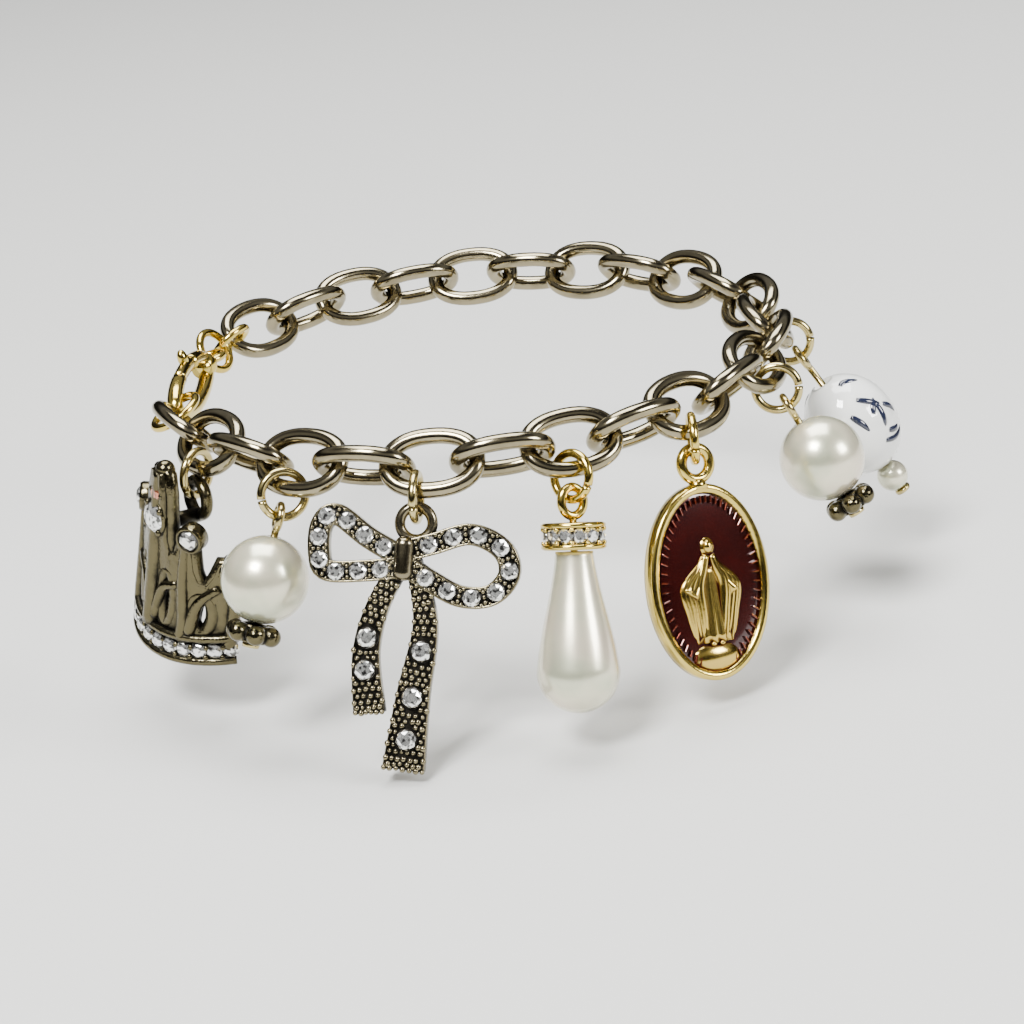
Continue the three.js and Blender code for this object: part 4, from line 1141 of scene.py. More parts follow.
@dataclass
class PorcelainCharm(Charm):
    """A brush-painted porcelain bead over a small pearl, on a pin."""

    width: float = 9.2
    length: float = 11.0
    hole: float = 2.2
    end_pearl: float = 3.2
    stem_shown: float = 1.9
    stroke: float = 0.8
    stroke_sink: float = 0.24
    strokes: tuple = (
        ((34, 56), (48, 56), (62, 49), (74, 40)),
        ((30, 30), (42, 19), (56, 6)),
        ((34, 6), (44, 14), (54, 19)),
        ((48, 12), (44, -4), (36, -16)),
        ((56, 6), (66, -2), (72, -14)),
        ((28, -27), (44, -33), (60, -33), (76, -27)),
        ((40, -20), (54, -25), (66, -24)),
        ((8, 20), (14, 6), (16, -8)),
    )

    def build(self) -> None:
        """Makes the ring, the pin, the bead, its strokes and the end pearl."""
        self.ring()
        world = self.eye_frame(EYE_OUTER, EYE_WIRE)
        half = self.length / 2 * math.sqrt(1 - (self.hole / self.width) ** 2)
        bead_at = EYE_OUTER / 2 + self.stem_shown + half
        end_at = bead_at + half + self.end_pearl / 2
        self.pin(world, end_at + self.end_pearl / 2)
        shape = turned(drilled_profile(self.width, self.length, self.hole / 2, 40), 64)
        bead = Piece(f"{self.name}_bead", world).add(shape, PORCELAIN, [placed(z=-bead_at)])
        self._paint(bead, bead_at)
        bead.finish(self.body, self.name)
        pearl = turned(drilled_profile(self.end_pearl, self.end_pearl, PIN_STEM / 2 + GAP, 20), 32)
        end = Piece(f"{self.name}_end_nacre", world).add(pearl, NACRE, [placed(z=-end_at)])
        end.finish(self.body, f"{self.name}_end_pearl")

    def _on_bead(self, round_deg: float, height_deg: float) -> Vector:
        """A point just under the glaze at an angle round the bead and an angle above its middle."""
        around, above = math.radians(round_deg), math.radians(height_deg)
        deep = self.stroke * self.stroke_sink
        reach = (self.width / 2 - deep) * math.cos(above)
        height = (self.length / 2 - deep) * math.sin(above)
        return Vector((reach * math.cos(around), reach * math.sin(around), height))

    def _paint(self, bead: Piece, bead_at: float) -> None:
        """Lays the brush strokes on both sides as low ridges of glaze."""
        for turn in (0, 180):
            for stroke in self.strokes:
                points = [self._on_bead(a + turn, h) for a, h in smooth_pairs(stroke, 6)]
                shape = wire_path(points, self.stroke / 2, 8, taper=brush_taper)
                bead.add(shape, BRUSH_BLUE, [placed(z=-bead_at)])


@dataclass
class TeardropCharm(Charm):
    """A pearl drop under a crystal rondelle, on a long eye."""

    width: float = 7.7
    neck: float = 3.5
    length: float = 14.8
    bore_depth: float = 3.0
    rondelle: float = 6.0
    rondelle_height: float = 2.5
    rim: float = 0.5
    stones: int = 12
    eye_width: float = 3.1
    eye_height: float = 3.5
    eye_wire: float = 0.85
    stone: float = 1.62
    prong: float = 0.24
    belly_share: float = 0.45

    def build(self) -> None:
        """Makes the ring, the eye, the rondelle and the drop."""
        self.ring()
        world = self.eye_frame(self.eye_height, self.eye_wire)
        top = self.eye_height / 2 + GAP / 2
        drop_top = top + self.rondelle_height + GAP / 2
        foot = (self.eye_height - self.eye_wire) / 2
        stem = drop_top + self.bore_depth - GAP
        eye = oval_wire(self.eye_height, self.eye_width, self.eye_wire, 2, 40, 12)
        pin = Piece(f"{self.name}_long_eye", world)
        pin.add(eye, GOLD, [placed(turn_x=90) @ placed(turn_z=90)])
        pin.add(rod(PIN_STEM / 2, stem - foot), GOLD, [placed(z=-(stem + foot) / 2)])
        pin.finish(self.body, f"{self.name}_pin")
        self._rondelle(world, top + self.rondelle_height / 2)
        drop = Piece(f"{self.name}_nacre", world)
        drop.add(self._drop(), NACRE, [placed(z=-drop_top)])
        drop.finish(self.body, self.name)

    def _rondelle(self, world: Matrix, at: float) -> None:
        """Two crimped gold rims with cut stones between them."""
        half, outer = self.rondelle_height / 2, self.rondelle / 2
        bore, waist, lip = PIN_STEM / 2 + GAP, outer - 0.6, half - self.rim
        lower = [(bore, -half), (outer - 0.25, -half), (outer, -half + 0.16), (outer, -lip - 0.1),
                 (outer - 0.15, -lip), (waist, -lip)]
        profile = [*lower, *[(radius, -height) for radius, height in reversed(lower)], lower[0]]
        piece = Piece(f"{self.name}_crystal_rondelle", world)
        piece.add(turned(profile, 48), GOLD, [placed(z=-at)])
        turns = [360 * (i + 0.5) / self.stones for i in range(self.stones)]
        places = [placed(z=-at, turn_z=turn) @ placed(y=-waist - 0.1) for turn in turns]
        piece.add(cut_stone(self.stone), GOLD_CLEAR, places, smooth=False)
        between = [placed(z=-at, turn_z=turn + 180 / self.stones) for turn in turns]
        prongs = [p @ placed(y=-outer + 0.22, z=side * (lip - 0.12)) for p in between for side in (1, -1)]
        piece.add(ball(self.prong, 10, 8), GOLD, prongs)
        piece.finish(self.body, f"{self.name}_rondelle")

    def _drop(self) -> bmesh.types.BMesh:
        """The drop's turned form, down from its top, with a blind bore."""
        belly, neck, bore = self.width / 2, self.neck / 2, PIN_STEM / 2 + GAP / 2
        belly_at = self.length - belly
        belly_rows, rows = 16, 28
        profile = [(0.0, -self.length)]
        for i in range(1, belly_rows + 1):
            angle = math.pi / 2 * i / belly_rows
            profile.append((belly * math.sin(angle), -belly_at - belly * math.cos(angle)))
        for i in range(1, rows + 1):
            share = i / rows
            ease = (1 + math.cos(math.pi * share)) / 2
            swell = self.belly_share * ease + (1 - self.belly_share) * (1 - share)
            profile.append((neck + (belly - neck) * swell, -belly_at * (1 - share)))
        profile += [(bore, 0.0), (bore, -self.bore_depth), (0.0, -self.bore_depth)]
        return turned(profile, 64)


@dataclass
class BowCharm(Charm):
    """A ribbon bow set with stones, its tails beaded over a dark ground."""

    thickness: float = 1.7
    band: float = 1.95
    left_span: float = 8.0
    right_span: float = 9.7
    loop_height: float = 6.6
    knot_width: float = 1.8
    knot_height: float = 4.1
    knot_depth: float = 2.2
    bail_outer: float = 4.0
    bail_wire: float = 1.0
    drop: float = 3.2
    shift: float = 1.05
    turn_deg: float = 3
    neck: float = 1.3
    stone: float = 1.78
    tail_stone: float = 2.0
    left_tail: float = 14.2
    right_tail: float = 19.2
    tail_width: float = 3.9
    loop_stones: int = 9
    grain: float = 0.27
    grain_pitch: float = 0.56
    channel_grain: float = 0.2295
    channel_grains: tuple = (
        (0, 0), (0, 0.5), (0, -0.5), (0.34, 0.72), (-0.34, 0.72), (0.34, -0.72), (-0.34, -0.72))
    grain_shift: float = 0.1
    grain_stray: float = 0.07
    grain_sizes: tuple = (0.82, 1.2)
    seed: int = 7
    edge_wire: float = 0.13
    edge_inset: float = 0.1
    edge_sink: float = 0.12
    ground_inset: float = 0.18
    bezel_reach: float = 1.12
    bezel: tuple = ((0.8, 0), (1.04, 0), (1.06, 0.3), (1.0, 0.45), (0.9, 0.42), (0.8, 0.2), (0.8, 0))
    knot_round: float = 0.82
    knot_proud: float = 0.35
    knot_waist: float = 0.94
    left_loop: tuple = (
        (0.0, 0.0), (-0.42, 0.26), (-0.8, 0.56), (-0.97, 0.4), (-0.98, 0.0), (-0.88, -0.22),
        (-0.45, -0.2), (0.0, -0.12),
    )
    right_loop: tuple = (
        (0.0, 0.1), (0.27, 0.22), (0.62, 0.38), (0.92, 0.2), (1.0, -0.14), (0.84, -0.44),
        (0.55, -0.48), (0.27, -0.3), (0.0, -0.08),
    )
    left_fall: tuple = ((0.0, 0.0), (0.3, -0.55), (0.62, -0.79), (1.0, -0.64))
    right_fall: tuple = ((0.0, 0.2), (0.3, 0.57), (0.65, 0.37), (1.0, 0.23))
    left_cut: tuple = (0.42, 0.33, (0.54, 0.74))
    right_cut: tuple = (0.38, 0.62, (0.44, 0.66, 0.86))

    def build(self) -> None:
        """Makes the ring and the whole bow."""
        self.ring()
        self.front = -self.thickness / 2
        self.tilt = placed(-self.shift, z=-self.drop, turn_y=self.turn_deg)
        piece = Piece(f"{self.name}_ribbon", self.eye_frame(self.bail_outer, self.bail_wire))
        for points, span in ((self.left_loop, self.left_span), (self.right_loop, self.right_span)):
            self._loop(piece, Spline([(x * span, z * self.loop_height) for x, z in points]))
        for points, length, shape in (
            (self.left_fall, self.left_tail, self.left_cut),
            (self.right_fall, self.right_tail, self.right_cut),
        ):
            self._tail(piece, Spline([(x * self.tail_width, -z * length) for z, x in points]), *shape)
        self._knot(piece)
        piece.finish(self.body, self.name)

    def _ribbon_section(self, half: float, rim: float, floor: float) -> list[Pair]:
        """A flat band's section with two raised rims in front, which is its -Y side."""
        front, back = -self.thickness / 2, self.thickness / 2
        return [
            (-half, back - 0.25), (-half + 0.25, back), (half - 0.25, back), (half, back - 0.25),
            (half, front + 0.12), (half - 0.1, front), (half - rim, front), (half - rim - 0.05, floor),
            (-half + rim + 0.05, floor), (-half + rim, front), (-half + 0.1, front), (-half, front + 0.12),
        ]

    def _loop(self, piece: Piece, curve: Spline) -> None:
        """A ribbon loop with a channel of stones and grains between each two."""
        steps, front = 60, self.front
        stations = [curve.station(i / steps) for i in range(steps + 1)]
        section = self._ribbon_section(self.band / 2, self.edge_sink, front + 0.3)
        piece.add(swept(section, stations), SILVER, [self.tilt])
        self._ground(piece, stations, self.band / 2 - self.ground_inset, front + 0.26, front + 0.36)
        for side in (-1, 1):
            reach = side * (self.band / 2 - self.edge_inset)
            edge = [curve.beside(i / steps, reach, front + self.edge_sink) for i in range(steps + 1)]
            piece.add(wire_path(edge, self.edge_wire, 8), GRAIN, [self.tilt])
        count = self.loop_stones + 1
        seats = [self.tilt @ placed(*curve.beside(i / count, 0, front + 0.1), turn_y=i / count * 700)
                 for i in range(1, count)]
        piece.add(cut_stone(self.stone), CLEAR, seats, smooth=False)
        grains = []
        for i in range(count):
            for along, across in self.channel_grains:
                share = min(0.99, max(0.01, (i + 0.5) / count + along / curve.lengths[-1]))
                grains.append(self.tilt @ placed(*curve.beside(share, across, front + 0.18)))
        piece.add(ball(self.channel_grain, 9, 7), GRAIN, grains)

    def _ground(self, piece: Piece, stations: Sequence[Matrix], half: float, front: float,
                back: float) -> None:
        """Adds the dark ground under the grains, as a thin strip in front of the ribbon.

        Args:
            piece: The piece that it is added to.
            stations: The ribbon's frames.
            half: Half the strip's width.
            front: Its front face.
            back: Its back face.
        """
        strip = [(-half, back), (half, back), (half, front), (-half, front)]
        piece.add(swept(strip, stations), OXIDE, [self.tilt])

    def _tail(self, piece: Piece, curve: Spline, top: float, spread: float,
              stones: Sequence[float]) -> None:
        """A tail with a beaded front and bezel-set stones.

        Args:
            piece: The piece that it is added to.
            curve: The tail's middle line.
            top: Its width at the knot, as a share of the tail width.
            spread: How much it gains to its foot, as such a share.
            stones: Where its stones sit along it.
        """
        steps, back = 40, self.thickness / 2
        stations = [curve.station(i / steps, self._half(i / steps, top, spread)) for i in range(steps + 1)]
        section = [
            (-1.0, back - 0.2), (-0.92, back), (0.92, back), (1.0, back - 0.2), (1.0, -back + 0.3),
            (0.95, -back + 0.2), (-0.95, -back + 0.2), (-1.0, -back + 0.3),
        ]
        piece.add(swept(section, stations), SILVER, [self.tilt])
        front = -back + 0.16
        self._ground(piece, stations, 0.93, front, front + 0.12)
        self._beads(piece, curve, top, spread, stones, front)
        seats = [self.tilt @ placed(*curve.beside(share, 0, front + 0.1), turn_x=90) for share in stones]
        piece.add(turned(self.bezel, 28), OXIDE, seats)
        places = [self.tilt @ placed(*curve.beside(share, 0, front - 0.28), turn_y=share * 90)
                  for share in stones]
        piece.add(cut_stone(self.tail_stone), CLEAR, places, smooth=False)

    def _half(self, share: float, top: float, spread: float) -> float:
        """Half a tail's width at a share of its length."""
        return self.tail_width * (top + spread * share) / 2

    def _beads(self, piece: Piece, curve: Spline, top: float, spread: float, stones: Sequence[float],
               front: float) -> None:
        """Adds the slightly uneven grains that fill a tail's front, in staggered rows.

        Args:
            piece: The piece that they are added to.
            curve: The tail's middle line.
            top: As for the tail.
            spread: As for the tail.
            stones: The stones that they keep clear of.
            front: The face that they sit on.
        """
        uneven = random.Random(self.seed)
        length = curve.lengths[-1]
        rows = int(length / self.grain_pitch)
        grains = []
        for row in range(rows + 1):
            share = min(1.0, (row + 0.3) / rows)
            half = self._half(share, top, spread) - self.ground_inset
            lanes = max(3, round(2 * half / self.grain_pitch) + 1 - row % 2)
            inset = self.grain_pitch / 2 if row % 2 else 0.0
            for lane in range(lanes):
                place = min(1.0, share + uneven.uniform(-self.grain_shift, self.grain_shift) / length)
                offset = (lane / (lanes - 1) * 2 - 1) * (half - inset)
                offset += uneven.uniform(-self.grain_stray, self.grain_stray)
                size = uneven.uniform(*self.grain_sizes)
                if all(math.hypot((place - s) * length, offset) >= self.bezel_reach for s in stones):
                    spot = placed(*curve.beside(place, offset, front))
                    grains.append(self.tilt @ spot @ Matrix.Diagonal((size, size, size, 1)))
        piece.add(ball(self.grain, 9, 7), GRAIN, grains)

    def _knot(self, piece: Piece) -> None:
        """The plain knot, with its bail and neck."""
        knot = block((self.knot_width, self.knot_depth, self.knot_height), self.knot_round, 8)
        waist = [v for v in knot.verts if abs(v.co.z) < self.knot_height * 0.2]
        bmesh.ops.scale(knot, vec=(self.knot_waist, 1.0, 1.0), verts=waist)
        piece.add(knot, SILVER, [self.tilt @ placed(y=-self.knot_proud)])
        lift = (self.bail_outer - self.bail_wire) / 2
        piece.add(ring_of_wire(self.bail_outer, self.bail_wire), SILVER)
        fall = self.drop - lift
        neck = rod(self.neck / 2, math.hypot(fall, self.shift))
        turn = math.degrees(math.atan2(self.shift, fall))
        piece.add(neck, SILVER, [placed(-self.shift / 2, z=-(self.drop + lift) / 2, turn_y=turn)])


@dataclass
class MedalCharm(Charm):
    """An oval medal: gold rim and robed figure over a garnet field."""

    width: float = 12.6
    height: float = 18.4
    thickness: float = 1.7
    rim: float = 0.55
    recess: float = 0.7
    bail_outer: float = 4.0
    bail_wire: float = 1.05
    enamel: float = 0.3
    figure_height: float = 11.4
    relief: float = 0.9
    robe_length: float = 7.2
    robe_shoulders: float = 2.0
    robe_hem: float = 3.6
    robe_folds: tuple = (11, 0.13)
    neck: float = 0.9
    mantle_length: float = 8.2
    mantle_width: float = 5.6
    mantle_folds: tuple = ((1.0, 0.0), (0.86, 0.03), (0.66, -0.05), (0.42, 0.02), (0.26, -0.06))
    mantle_sink: float = 0.22
    mantle_step: float = 0.07
    fold: float = 0.46
    sleeve_length: float = 3.2
    sleeve_hem: float = 2.0
    sleeve_out: float = 1.25
    sleeve_lean_deg: float = 36
    sleeve_folds: tuple = (5, 0.16)
    hand: float = 0.3
    head: float = 1.9
    halo: float = 1.25
    halo_wire: float = 0.16
    mound_width: float = 5.2
    mound_height: float = 3.0
    mound_sink: float = 1.65
    foot: float = 0.36
    ticks: int = 56
    tick_size: tuple = (0.7, 0.3, 0.14)
    tick_inset: float = 0.85
    tick_gap: float = -0.93
    shoulders: tuple = (1.15, 0.55)

    def build(self) -> None:
        """Makes the ring, the medal and its enamel."""
        self.ring()
        world = self.eye_frame(self.bail_outer, self.bail_wire)
        drop = self.bail_outer / 2 + self.height / 2 - 0.1
        self.centre = placed(z=-drop)
        self.floor = -self.thickness / 2 + self.recess
        piece = Piece(f"{self.name}_gold", world)
        self._frame(piece)
        self._figure(piece)
        self._bail(piece)
        piece.finish(self.body, self.name)
        field_piece = Piece(f"{self.name}_field", world)
        field_piece.add(self._field(), GARNET, [self.centre])
        field_piece.finish(self.body, f"{self.name}_enamel")

    def _oval_stations(self, inset: float, steps: int = 72) -> list[Matrix]:
        """Frames round the oval, X outwards and Y to the front."""
        stations = []
        wide, tall = self.width / 2 - inset, self.height / 2 - inset
        for i in range(steps):
            angle = TURN * i / steps
            at = Vector((wide * math.cos(angle), 0, tall * math.sin(angle)))
            along = Vector((-wide * math.sin(angle), 0, tall * math.cos(angle)))
            outward = Vector((along.z, 0, -along.x))
            stations.append(station(at, along, outward))
        return stations

    def _frame(self, piece: Piece) -> None:
        """The plate, its rounded rim and the border of ticks."""
        half, rim = self.thickness / 2, self.rim
        section = [
            (-rim - 0.25, -half + 0.02), (-0.2, -half), (0, -half + 0.2), (0, half - 0.22), (-0.2, half),
            (-rim + 0.18, half), (-rim, half - 0.16), (-rim - 0.25, half - self.recess),
        ]
        piece.add(swept(section, self._oval_stations(0.0), True), GOLD, [self.centre])
        plate = Matrix.Diagonal((self.width - 2 * rim, 1, self.height - 2 * rim, 1)) @ placed(turn_x=90)
        middle = (self.floor + half) / 2
        piece.add(rod(0.5, half - self.floor, sides=72), GOLD, [self.centre @ placed(y=middle) @ plate])
        tick = block(self.tick_size, 0.04, 1)
        wide, tall = self.width / 2 - rim - self.tick_inset, self.height / 2 - rim - self.tick_inset
        ticks = []
        for i in range(self.ticks):
            angle = TURN * (i + 0.5) / self.ticks
            if math.sin(angle) < self.tick_gap:
                continue
            lean = math.degrees(math.atan2(tall * math.sin(angle), wide * math.cos(angle)))
            spot = placed(wide * math.cos(angle), self.floor - 0.5, tall * math.sin(angle), turn_y=-lean)
            ticks.append(self.centre @ spot)
        piece.add(tick, GARNET_RELIEF, ticks, smooth=False)

    def _field(self) -> bmesh.types.BMesh:
        """The enamel: an oval sheet that domes slightly towards the front."""
        bm = bmesh.new()
        bmesh.ops.create_uvsphere(bm, u_segments=72, v_segments=24, radius=0.5)
        front = self.floor - GAP / 2
        wide, tall = self.width - 2 * self.rim - GAP, self.height - 2 * self.rim - GAP
        bmesh.ops.scale(bm, vec=(wide, 2 * self.enamel, tall), verts=bm.verts)
        bmesh.ops.bisect_plane(
            bm, geom=bm.verts[:] + bm.edges[:] + bm.faces[:], plane_co=(0, 0, 0), plane_no=(0, 1, 0),
            clear_outer=True)
        bmesh.ops.holes_fill(bm, edges=[edge for edge in bm.edges if edge.is_boundary])
        bmesh.ops.translate(bm, vec=(0, front, 0), verts=bm.verts)
        bmesh.ops.recalc_face_normals(bm, faces=bm.faces)
        return bm

    def _draped(self, top: float, foot: float, height: float, folds: int,
                depth: float) -> bmesh.types.BMesh:
        """A flattened cone of cloth down Z with folds that deepen towards its hem.

        Args:
            top: Its radius at the top.
            foot: Its radius at the hem.
            height: Its height.
            folds: The number of folds round it.
            depth: The folds' depth at the hem, as a share of the radius.

        Returns:
            The closed mesh.
        """
        rows = 10
        profile = [(0.0, height / 2)]
        for i in range(rows + 1):
            share = i / rows
            profile.append((top + (foot - top) * share**1.25, height / 2 - height * share))
        profile.append((0.0, -height / 2))
        bm = turned(profile, 48)
        for vert in bm.verts:
            share = 0.5 - vert.co.z / height
            angle = math.atan2(vert.co.y, vert.co.x)
            ripple = 1 + depth * share * math.cos(folds * angle)
            vert.co.x *= ripple
            vert.co.y *= ripple
        bmesh.ops.scale(bm, vec=(1, self.relief / foot, 1), verts=bm.verts)
        return bm

    def _figure(self, piece: Piece) -> None:
        """A plain robed figure with open arms on a mound, in low relief."""
        base = -self.height / 2 + self.rim + self.mound_sink
        top = base + self.figure_height
        shoulder = top - self.head - self.neck

        def put(x: float, z: float, lean: float = 0, lift: float = 0) -> Matrix:
            """A place on the field."""
            return self.centre @ placed(x, self.floor - lift, z, turn_y=lean)

        robe = self._draped(self.robe_shoulders / 2, self.robe_hem / 2, self.robe_length, *self.robe_folds)
        piece.add(robe, GILT_RELIEF, [put(0, shoulder - self.robe_length / 2)])
        self._mantle(piece, put, shoulder + self.head * 0.5)
        sleeve = self._draped(0.5, self.sleeve_hem / 2, self.sleeve_length, *self.sleeve_folds)
        out = self.sleeve_out + self.sleeve_length / 2 * math.sin(math.radians(self.sleeve_lean_deg))
        fall = self.sleeve_length * (0.5 + math.cos(math.radians(self.sleeve_lean_deg)) / 2)
        sleeve_at = shoulder + 0.2 - self.sleeve_length / 2
        arms = [put(side * self.sleeve_out, sleeve_at, -side * self.sleeve_lean_deg, 0.1)
                for side in (-1, 1)]
        piece.add(sleeve, GILT_RELIEF, arms)
        hand = ball(self.hand, 12, 10, Vector((0.8, 0.7, 1.3)))
        hands = [put(side * (out + 0.25), shoulder - fall - 0.1, -side * 40, 0.3) for side in (-1, 1)]
        piece.add(hand, GILT_RELIEF, hands)
        head_at = top - self.head / 2
        veil = ball(self.head / 2, 24, 16, Vector((0.92, 0.7, 1.12)))
        piece.add(veil, GILT_RELIEF, [put(0, head_at - 0.15, lift=0.05)])
        face = ball(self.head / 2, 24, 16, Vector((0.56, 0.6, 0.72)))
        piece.add(face, GILT_RELIEF, [put(0, head_at - 0.1, lift=0.42)])
        nose = ball(0.08, 8, 6, Vector((0.8, 1, 1.7)))
        piece.add(nose, GILT_RELIEF, [put(0, head_at - 0.12, lift=0.94)])
        halo = ring_of_wire(self.head * self.halo, self.halo_wire, 0, 32)
        piece.add(halo, GILT_RELIEF, [put(0, head_at + 0.1, lift=0.18)])
        mound = Vector((self.mound_width, 2 * self.relief, self.mound_height))
        piece.add(ball(0.5, 40, 24, mound), GILT_RELIEF, [put(0, base)])
        feet = ball(self.foot, 14, 10, Vector((0.9, 1.0, 0.6)))
        feet_at = shoulder - self.robe_length - 0.1
        piece.add(feet, GILT_RELIEF, [put(x, feet_at, lift=0.72) for x in (-0.45, 0.45)])

    def _mantle(self, piece: Piece, put: Callable[..., Matrix], top: float) -> None:
        """The mantle's folds: cords of cloth that fall from the head, over the arms and to the hem.

        Args:
            piece: The piece that it is added to.
            put: Gives a place on the field.
            top: The height at which the folds start.
        """
        half, length = self.mantle_width / 2, self.mantle_length
        for side in (-1, 1):
            for n, (share, drop) in enumerate(self.mantle_folds):
                path = smooth_pairs([
                    (side * 0.3, 0.0), (side * (0.5 + 0.6 * share), -0.14 * length),
                    (side * half * (0.25 + 0.75 * share), -0.36 * length),
                    (side * half * (0.2 + 0.68 * share), -0.66 * length),
                    (side * half * (0.16 + 0.56 * share), -(0.97 + drop) * length),
                ], 6)
                lift = -self.mantle_sink - self.mantle_step * n
                fold = wire_path([Vector((x, lift, z)) for x, z in path], self.fold, 10, taper=brush_taper)
                piece.add(fold, GILT_RELIEF, [put(0, top)])

    def _bail(self, piece: Piece) -> None:
        """The ring on top and the shoulders that carry it."""
        lift = (self.bail_outer - self.bail_wire) / 2
        height = self.bail_wire / 2 + self.rim / 2
        piece.add(ring_of_wire(self.bail_outer, self.bail_wire), GOLD)
        wide, narrow = self.shoulders
        piece.add(rod(wide, height + 0.2, narrow), GOLD, [placed(z=-lift - height / 2)])


@dataclass
class CrownCharm(Charm):
    """A half-round cast crown with an open back, set with stones."""

    radius: float = 8.6
    wall: float = 1.3
    spread_deg: float = 66
    band_height: float = 2.9
    band_swell: float = 0.5
    side_height: float = 12.0
    mid_height: float = 14.2
    top_height: float = 19.6
    crest_height: float = 14.6
    mid_deg: float = 31
    side_deg: float = 59
    sag: float = 1.6
    ball: float = 1.9
    stone: float = 1.75
    stones: int = 13
    crest: float = 3.4
    cup: float = 2.9
    cup_depth: float = 1.8
    cup_stone: float = 2.1
    bail_outer: float = 4.6
    bail_wire: float = 1.2
    bail_height: float = 15.6
    post: float = 0.75
    tilt_deg: float = 12
    cuts: int = 22
    flare: float = 0.05
    windows: tuple = ((0.25, 0.55, 0.12, 0.25), (0.71, 0.5, 0.115, 0.18))
    window_sides: int = 20
    middle_rib: float = 0.85
    rib: float = 0.62
    rib_sink: float = 0.1
    rail: float = 0.42
    band_share: float = 0.94
    seat: tuple = ((1.3, 0), (1.75, 0), (1.84, 0.3), (1.72, 0.62), (1.5, 0.55), (1.3, 0))
    claw: float = 0.36
    amber: float = 1.7
    amber_drop: float = 2.3

    def build(self) -> None:
        """Makes the ring and the whole crown."""
        self.ring()
        world = self.eye_frame(self.bail_outer, self.bail_wire)
        self.set_back = RING_OUTER / 2 + self.wall + 2 * GAP
        self.shift = (
            placed(y=-self.set_back, turn_y=self.tilt_deg) @ placed(y=self.radius, z=-self.bail_height)
        )
        piece = Piece(f"{self.name}_casting", world)
        piece.add(self._wall(), BRONZED, [self.shift])
        self._ribs(piece)
        self._band(piece)
        self._tops(piece)
        self._bail(piece)
        piece.finish(self.body, self.name)

    def _at(self, deg: float, height: float, radius: float) -> Matrix:
        """A frame on the wall at an angle from its front, with -Y outwards."""
        angle = math.radians(deg)
        spot = placed(radius * math.sin(angle), -radius * math.cos(angle), height, turn_z=deg)
        return self.shift @ spot

    def _turn(self, share: float) -> float:
        """The angle in radians at a share of the half width, as seen from the front."""
        return math.asin(share * math.sin(math.radians(self.spread_deg)))

    def _sag(self, deg: float) -> float:
        """How far the band lifts from its middle."""
        return self.sag * math.sin(math.radians(deg)) ** 2

    def _outline(self) -> tuple[list[Pair], list[list[Pair]]]:
        """The wall's outline and its windows, as shares of the half spread and heights."""
        side, middle, top = self.side_height, self.mid_height, self.top_height
        edge = [
            (0.0, top + 0.1), (0.11, top), (0.18, top * 0.9), (0.25, middle * 0.9),
            (0.3, middle * 0.84), (0.38, middle * 0.84), (0.42, middle * 0.92), (0.44, middle),
            (0.56, middle), (0.62, side * 0.9), (0.68, side * 0.8), (0.76, side * 0.79),
            (0.82, side * 0.88), (0.85, side), (1.0, side),
        ]
        foot = [(i / 4, self._sag(math.degrees(self._turn(i / 4)))) for i in (4, 3, 2, 1, 0)]
        half = edge + foot
        mirrored = [(-x, z) for x, z in reversed(half[1:-1])]
        angles = [TURN * i / self.window_sides for i in range(self.window_sides)]
        windows = [
            [(sign * x + wide * math.cos(a), side * (z + tall * math.sin(a))) for a in angles]
            for x, z, wide, tall in self.windows for sign in (1, -1)
        ]
        return half + mirrored, windows

    def _wall(self) -> bmesh.types.BMesh:
        """The pierced wall, filled flat, cut into strips, thickened and bent round Z."""
        bm = bmesh.new()
        outline, windows = self._outline()
        for loop in (outline, *windows):
            verts = [bm.verts.new((x, 0, z)) for x, z in loop]
            for pair in zip(verts, verts[1:] + verts[:1]):
                bm.edges.new(pair)
        bmesh.ops.triangle_fill(bm, edges=bm.edges[:], use_beauty=True)
        for i in range(1, self.cuts):
            bmesh.ops.bisect_plane(
                bm, geom=bm.verts[:] + bm.edges[:] + bm.faces[:],
                plane_co=(2 * i / self.cuts - 1, 0, 0), plane_no=(1, 0, 0))
        bmesh.ops.recalc_face_normals(bm, faces=bm.faces)
        made = bmesh.ops.extrude_face_region(bm, geom=bm.faces[:])["geom"]
        back = {item for item in made if isinstance(item, bmesh.types.BMVert)}
        for vert in bm.verts:
            radius = self.radius - (self.wall if vert in back else 0)
            flare = 1 + self.flare * (vert.co.z / self.top_height) ** 2
            angle = self._turn(vert.co.x)
            vert.co.x, vert.co.y = radius * math.sin(angle), -radius * math.cos(angle) * flare
        bmesh.ops.recalc_face_normals(bm, faces=bm.faces)
        return bm

    def _on_wall(self, share: float, height: float, lift: float = 0.0) -> Vector:
        """A point on the wall's front at a share of the half spread."""
        angle = self._turn(share)
        radius = self.radius + lift
        return Vector((radius * math.sin(angle), -radius * math.cos(angle), height))

